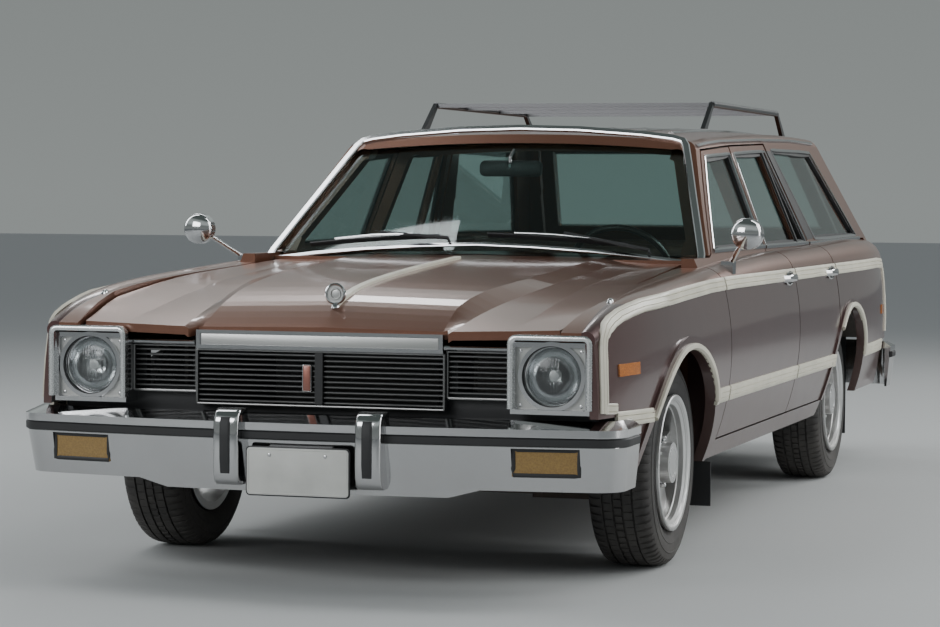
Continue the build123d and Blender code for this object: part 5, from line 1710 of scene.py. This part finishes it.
boss = lathe([(-0.060, 0.026), (-0.040, 0.034), (-0.012, 0.040), (0.004, 0.036)], HUB, AXLE, (1, 0, 0), 40)
from_faces("steering_hub_pad", *hub, dash_vinyl, "steering_wheel", 50)
from_faces("steering_boss", *boss, wheel_plastic, "steering_wheel", 50)
badge_ring = lathe([(0.0175, 0.016), (0.0205, 0.0150), (0.0205, 0.0125), (0.0175, 0.012)], HUB + DOWN * 0.010,
                   AXLE, (1, 0, 0), 40)
from_faces("steering_hub_ring", *badge_ring, bright_trim, "steering_wheel")
print("steering wheel made")


# %%  Dashboard details
FACE_Y = -0.5655


def dash_slab(x, z, width, height, depth, radius=0.006, y=FACE_Y, edge=0.0015):
    """A slab that stands out of the dashboard towards the seats."""
    return slab(rounded_outline(width, height, radius), depth, edge, (x, y, z), RIGHT, UP)


panel_black = moulded("dash_panel", (0.030, 0.024, 0.020), 0.32, 400.0, 0.04)
from_faces("dash_panel_driver", *dash_slab(0.345, 0.802, 0.560, 0.118, 0.006, 0.012), panel_black)
from_faces("dash_glovebox_lid", *dash_slab(-0.355, 0.790, 0.460, 0.120, 0.007, 0.010), dash_vinyl)
from_faces("dash_radio", *dash_slab(-0.010, 0.790, 0.180, 0.052, 0.010, 0.005), trim_black)
rings, faces_dark, marks = [], [], []
for x, radius in ((0.300, 0.042), (0.440, 0.042), (0.180, 0.024), (0.560, 0.024)):
    y = FACE_Y + 0.006
    rings.append(lathe([(0.0, radius), (0.006, radius - 0.001), (0.008, radius - 0.003),
                        (0.006, radius - 0.0055), (0.0005, radius - 0.006)],
                       (x, y, 0.806), ASTERN, LEFT, 48))
    faces_dark.append(lathe([(0.0012, radius - 0.0055), (0.0012, 0.0)], (x, y, 0.806), ASTERN, LEFT, 48))
    for k in range(13):
        a = radians(-120 + 20 * k)
        u, v = Vector((cos(a), 0, -sin(a))), Vector((sin(a), 0, cos(a)))
        start = Vector((x, y + 0.0016, 0.806)) + v * (radius * 0.76)
        corners = [start + u * s * 0.0006 + v * t
                   for s, t in ((-1, -0.003), (1, -0.003), (1, 0.003), (-1, 0.003))]
        marks.append((corners, [[0, 1, 2, 3]]))
    tip = Vector((x, y + 0.0026, 0.806))
    marks.append(([tip + Vector((0.0012, 0, 0)), tip - Vector((0.0012, 0, 0)),
                   tip + Vector((-radius * 0.5, 0, -radius * 0.42))], [[0, 1, 2]]))
from_faces("gauge_rings", *joined(rings), bright_trim)
from_faces("gauge_faces", *joined(faces_dark), trim_black)
from_faces("gauge_marks", *joined(marks), plate_enamel)
knob = lathe([(0.0, 0.011), (0.012, 0.010), (0.014, 0.008), (0.0145, 0.0)], ORIGIN, ASTERN, LEFT, 24)
knobs = [moved_to(knob, (x, FACE_Y + 0.010, 0.790))
         for x in (-0.080, 0.060)] + [moved_to(knob, (0.620, FACE_Y + 0.006, z)) for z in (0.775, 0.830)]
from_faces("dash_knobs", *joined(knobs), bright_trim)
louvre = repeated(*small_bar(0.100, 0.0030, 0.006), repeat_line, trim_black, Count=6, Step=(0, 0, 0.007))
louvre = ([Vector((p.x, -p.y, p.z)) for p in louvre[0]], louvre[1])
vents = [moved_to(louvre, (x, FACE_Y + 0.004, z))
         for x, z in ((-0.010, 0.828), (0.640, 0.862), (-0.650, 0.826))]
from_faces("dash_vents", *joined(vents), trim_black)
from_faces("dash_ledge", *soft_block((-0.700, 0.700), (-0.600, -0.553), (0.884, 0.9045), 0.0, 0.008),
           dash_vinyl)
from_faces("instrument_hood", *soft_block((0.095, 0.645), (-0.592, -0.522), (0.870, 0.8905), 0.0, 0.008),
           dash_vinyl)
print("dashboard detailed")

# %% [markdown]
# ### Door cards, carpet, headliner and inner mirror
#
# A door card rides on its own door.  It has an armrest, a pull handle and a window crank.  The
# carpet and the headliner close the view through the glass.

# %%  Door cards
card_vinyl = moulded("door_card_vinyl", (0.085, 0.048, 0.031), 0.52, 700.0, 0.2)
CARD_X = 0.7485


def card_slab(y, z, width, height, depth, radius, x=CARD_X, edge=0.003):
    """A slab on the inside of a left door, standing out towards the seats."""
    return slab(rounded_outline(width, height, radius), depth, edge, (x, y, z), AHEAD, UP)


for base, middle, width in (("door_front", -0.405, 1.000), ("door_rear", 0.500, 0.560)):
    card = card_slab(middle, 0.660, width, 0.460, 0.007, 0.030)
    inset = card_slab(middle, 0.790, width - 0.080, 0.120, 0.010, 0.015)
    rest = card_slab(middle + 0.06, 0.640, min(0.42, width * 0.6), 0.058, 0.046, 0.020, edge=0.014)
    bar = [Vector((CARD_X - 0.008 - 0.014 * sin(pi * i / 8), middle - 0.08 + 0.16 * i / 8, 0.735))
           for i in range(9)]
    boss = lathe([(0.006, 0.022), (0.014, 0.020), (0.016, 0.0)], (CARD_X, middle - width * 0.30, 0.560), RIGHT,
                 ASTERN, 24)
    arm = card_slab(middle - width * 0.30 + 0.045, 0.560, 0.110, 0.016, 0.006, 0.007, CARD_X - 0.014)
    for hand, side in SIDES:
        body = body_name(base, side)
        from_faces(f"{base}_card_{hand}", *hand_part(joined([card, inset]), side), card_vinyl, body)
        from_faces(f"{base}_armrest_{hand}", *hand_part(rest, side), dash_vinyl, body)
        from_faces(f"{base}_crank_{hand}", *hand_part(joined([boss, arm]), side), bright_trim, body)
        sweep(f"{base}_inner_pull_{hand}", on_hand(bar, side), Vector((-side, 0, 0)), round_section(0.006, 8),
              bright_trim, body)
print("door cards made")


# %%  Carpet, headliner and mirror
def fleece(name, colour, scale):
    """Short pile: a rough surface with fine bumps and patchy tone."""
    finish = Finish(name, colour, 0.92)
    tuft = finish.noise(scale, 6.0, 0.7)
    finish.drive("Base Color",
                 finish.blend(tuft, tuple(c * 0.6 for c in colour), tuple(c * 1.4 for c in colour)))
    put(finish.shader, Sheen_Weight=0.3)
    finish.bump(tuft, 0.6, 0.003)
    return finish.material


carpet = fleece("carpet_pile", (0.050, 0.030, 0.021), 320.0)
headlining = fleece("headliner_cloth", (0.300, 0.255, 0.205), 700.0)
from_faces("carpet_front",
           *slab(rounded_outline(1.30, 0.62, 0.05), 0.006, 0.003, (0, -0.545, 0.3224), LEFT, ASTERN), carpet)
from_faces("carpet_rear",
           *slab(rounded_outline(1.30, 0.32, 0.04), 0.006, 0.003, (0, 0.250, 0.3224), LEFT, ASTERN), carpet)
from_faces("carpet_cargo",
           *slab(rounded_outline(0.96, 1.26, 0.05), 0.007, 0.003, (0, 1.690, 0.5824), LEFT, ASTERN), carpet)
roof_tree = panel_tree(("roof_panel",))
lining, columns, rows = [], 15, 40
for j in range(rows + 1):
    for i in range(columns + 1):
        x, y = -0.555 + 1.11 * i / columns, -0.27 + 2.10 * j / rows
        hit = roof_tree.ray_cast(Vector((x, y, 1.0)), UP)
        lining.append(Vector((x, y, (hit[0].z if hit[0] else 1.33) - 0.007 - 0.004 * cos(2 * pi * j / 8) ** 8)))
quads = [[j * (columns + 1) + i, (j + 1) * (columns + 1) + i, (j + 1) * (columns + 1) + i + 1,
          j * (columns + 1) + i + 1]
         for j in range(rows) for i in range(columns)]
from_faces("headliner", lining, quads, headlining, "body", 180)
mirror_back = slab(rounded_outline(0.230, 0.056, 0.020, 8), 0.016, 0.006, (0, -0.452, 1.232), (1, 0, 0),
                   (0, 0.10, 0.995))
mirror_face = slab(rounded_outline(0.218, 0.046, 0.016, 8), 0.002, 0.0005, (0, -0.4515, 1.232), RIGHT,
                   (0, 0.10, 0.995))
from_faces("inner_mirror_case", *mirror_back, trim_black)
from_faces("inner_mirror_glass", *mirror_face, reflector)
sweep("inner_mirror_stalk", [(0, -0.470, 1.236), (0, -0.470, 1.275), (0, -0.425, 1.300)], LEFT,
      round_section(0.006, 10), bright_trim)
print("cabin closed")

# %% [markdown]
# ## Bright trim at the nose
#
# A bright moulding stands over the top and sides of each lamp bezel, and a slim strip joins it
# to the header above the outer grille panels.  A domed shell closes the front of each door
# mirror.  A small chrome drop stands on each fender, and a bare ring stands at the tip of the
# hood strip.  The drop is the one shape here that is neither swept nor turned, so its points
# are worked out ring by ring.

# %%  Lamp and grille mouldings
bezel_metal = chrome_material("bezel_metal", (0.86, 0.87, 0.87), (0.24, 0.38), 0.2)
LAMP_FRAME_X, LAMP_FRAME_Z, LAMP_FRAME_Y = (0.5935, 0.8245), (0.5400, 0.7415), -2.425
CORNER_RADIUS, CORNER_STEPS = 0.018, 6
lamp_line = [(LAMP_FRAME_X[0], LAMP_FRAME_Z[0])]
for x, start in ((LAMP_FRAME_X[0] + CORNER_RADIUS, 180), (LAMP_FRAME_X[1] - CORNER_RADIUS, 90)):
    for step in range(CORNER_STEPS + 1):
        turn = radians(start - 90 * step / CORNER_STEPS)
        lamp_line.append((x + CORNER_RADIUS * cos(turn), LAMP_FRAME_Z[1] - CORNER_RADIUS * (1 - sin(turn))))
lamp_line.append((LAMP_FRAME_X[1], LAMP_FRAME_Z[0]))
frame_bar = [(-0.020, -0.008), (0.003, -0.008), (0.006, -0.004), (0.007, 0.0), (0.006, 0.004), (0.003, 0.008),
             (-0.020, 0.008)]
sweep("lamp_frame_moulding", [Vector((x, LAMP_FRAME_Y, z)) for x, z in lamp_line], AHEAD, frame_bar,
      bezel_metal, both=True)
print("lamp mouldings made")


# %%  Mirror shells
MIRROR_CENTRE = (0.965, -1.005, 1.018)
dome = [(-0.004, 0.0), (-0.004, 0.0500), (0.0, 0.0519), (0.006, 0.0500), (0.012, 0.0455), (0.018, 0.0370),
        (0.0225, 0.0250), (0.025, 0.0120), (0.0258, 0.0)]
for hand, side in SIDES:
    from_faces(f"mirror_shell_{hand}", *lathe(dome, on_hand([MIRROR_CENTRE], side)[0], AHEAD, LEFT, 48), chrome,
               body_name("door_front", side), 50)
print("mirror shells made")


# %%  Grille strip, fender drops and hood ring
RING_Y, RING_RISE = -2.235, 0.037
sweep("grille_top_strip", between((0.384, -2.378, 0.7045), (0.592, -2.378, 0.7045), 6), AHEAD,
      [(-0.010, -0.006), (0.003, -0.006), (0.006, -0.002), (0.006, 0.004), (0.002, 0.007), (-0.010, 0.007)],
      bright_trim, both=True)


def drop(x, y, length, width, height):
    """A low teardrop standing on the fender top."""
    points, faces, around = [], [], 20
    for ring in range(6):
        t = ring / 5
        size, rise = cos(t * pi / 2), sin(t * pi / 2)
        for k in range(around):
            a = 2 * pi * k / around
            v = sin(a)
            points.append(Vector((x + size * width / 2 * cos(a) * (1 - 0.35 * max(v, 0)),
                                  y + size * length / 2 * v, height * rise)))
    base = top_z(x, y)
    points = [Vector((p.x, p.y, base + (p.y - y) * 0.14 - 0.001 + p.z)) for p in points]
    faces = [[r * around + k, r * around + (k + 1) % around, (r + 1) * around + (k + 1) % around,
              (r + 1) * around + k]
             for r in range(5) for k in range(around)]
    return points, faces


from_faces("fender_drops", *both_sides(drop(0.800, -2.110, 0.050, 0.020, 0.011)), chrome)
stand = Vector((0, RING_Y, top_z(0.0, RING_Y)))
ring_centre = stand + UP * RING_RISE
ring = lathe([(-0.006, 0.0255), (-0.0075, 0.0285), (-0.004, 0.0320), (0.004, 0.0320), (0.0075, 0.0285),
              (0.006, 0.0255), (-0.006, 0.0255)],
             ring_centre, AHEAD, LEFT, 56)
disc = lathe([(-0.0040, 0.0), (-0.0040, 0.0262), (0.0015, 0.0262), (0.0015, 0.0185), (0.0045, 0.0170),
              (0.0045, 0.0135), (0.0010, 0.0120), (0.0028, 0.0)], ring_centre, AHEAD, LEFT, 56)
foot = lathe([(-0.004, 0.0130), (0.006, 0.0100), (0.009, 0.0060), (0.012, 0.0050)], stand, UP, LEFT, 32)
from_faces("hood_ring", *joined([ring, foot]), chrome, "hood", 40)
from_faces("hood_ring_disc", *disc, satin, "hood", 40)
print("nose trim made")

# %% [markdown]
# ## Roof rack, door division and tail
#
# Slats lie along the roof under the rack.  The rear door glass has a slim black division.  The
# tail lamps have bright frames and ribs.  A bright strip, a handle and a surround for the glass
# ride on the tailgate when it opens.

# %%  Roof slats and the door division
rack_metal = chrome_material("rack_metal", (0.15, 0.15, 0.155), (0.26, 0.44), 0.2)
dress(rack_metal, "roof_rack")
for index, x in enumerate((-0.42, -0.28, -0.14, 0.0, 0.14, 0.28, 0.42)):
    stations = [0.20 + 1.50 * i / 30 for i in range(31)]
    path = [Vector((x, y, top_z(x, y))) for y in stations]
    sweep(f"roof_slat_{index + 1}", path, UP, flat_section(0.020, 0.006), bright_trim)
for hand, side in SIDES:
    sweep(f"glass_division_{hand}", house_line([(0.7815, 0.962), (0.6875, 1.308)], side, 0.001),
          Vector((side, 0, 0.36)),
          flat_section(0.016, 0.005), trim_black, body_name("door_rear", side))
print("rack slats and divisions made")


# %%  Tail lamps
lamp_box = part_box("tail_lamps")
rib = repeated(*small_bar(0.168, 0.0050, 0.0030), repeat_line, red, Count=8, Step=(0, 0, 0.0205))
rib = ([Vector((p.x, -p.y, p.z)) for p in rib[0]], rib[1])


def tail_path(x0, x1, z0, z1):
    """Closed path round a lamp on the tail, at the back face of the CAD lamp."""
    outline = rounded_outline(x1 - x0, z1 - z0, 0.010, 4)
    return [Vector(((x0 + x1) / 2 + u, lamp_box[1][1] - 0.002, (z0 + z1) / 2 + v)) for u, v in outline]


from_faces("tail_lamp_ribs", *both_sides(moved_to(rib, (0.749, lamp_box[1][1] - 0.0012, 0.637))), red)
loop = tail_path(0.658, 0.840, 0.610, 0.807)
for hand, side in SIDES:
    sweep(f"tail_lamp_frame_{hand}", on_hand(loop, side), ASTERN,
          [(-0.004, -0.004), (0.003, -0.004), (0.005, 0.0), (0.003, 0.004), (-0.004, 0.004)], bright_trim,
          closed=True)
print("tail lamps trimmed")


# %%  Tailgate trim
gate_tree = panel_tree(("tailgate",))


def gate_point(x, z, reach=0.0):
    """A point on the back of the tailgate."""
    hit = gate_tree.ray_cast(Vector((x, 3.2, z)), AHEAD)
    return Vector((x, hit[0].y + reach, z)) if hit[0] else None


strip_path = [gate_point(-0.64 + 1.28 * i / 30, 0.845) for i in range(31)]
sweep("tailgate_strip", [p for p in strip_path if p], ASTERN, flat_section(0.022, 0.006), bright_trim,
      "tailgate")
pull = [gate_point(x, 0.790, r)
        for x, r in ((-0.085, 0.0), (-0.070, 0.016), (-0.035, 0.022), (0.035, 0.022), (0.070, 0.016),
                     (0.085, 0.0))]
sweep("tailgate_handle", pull, Vector((0, 1, 0.01)),
      [(0.006 * cos(a), 0.012 * sin(a)) for a in (2 * pi * k / 12 for k in range(12))],
      chrome, "tailgate")
glass_corners = [(-0.598, 1.003), (0.598, 1.003), (0.570, 1.332), (-0.570, 1.332)]
surround_path = []
for (xa, za), (xb, zb) in zip(glass_corners, glass_corners[1:] + glass_corners[:1]):
    for i in range(12):
        x, z = xa + (xb - xa) * i / 12, za + (zb - za) * i / 12
        surround_path.append(Vector((x * 1.012, 2.341 - (z - 1.0) * 1.176 + 0.002, z)))
sweep("tailgate_glass_edge", surround_path, Vector((0, 0.76, 0.65)),
      [(-0.006, -0.007), (0.004, -0.007), (0.006, 0.0), (0.004, 0.007), (-0.006, 0.007)],
      bright_trim, "tailgate", closed=True)
print("tail finished")
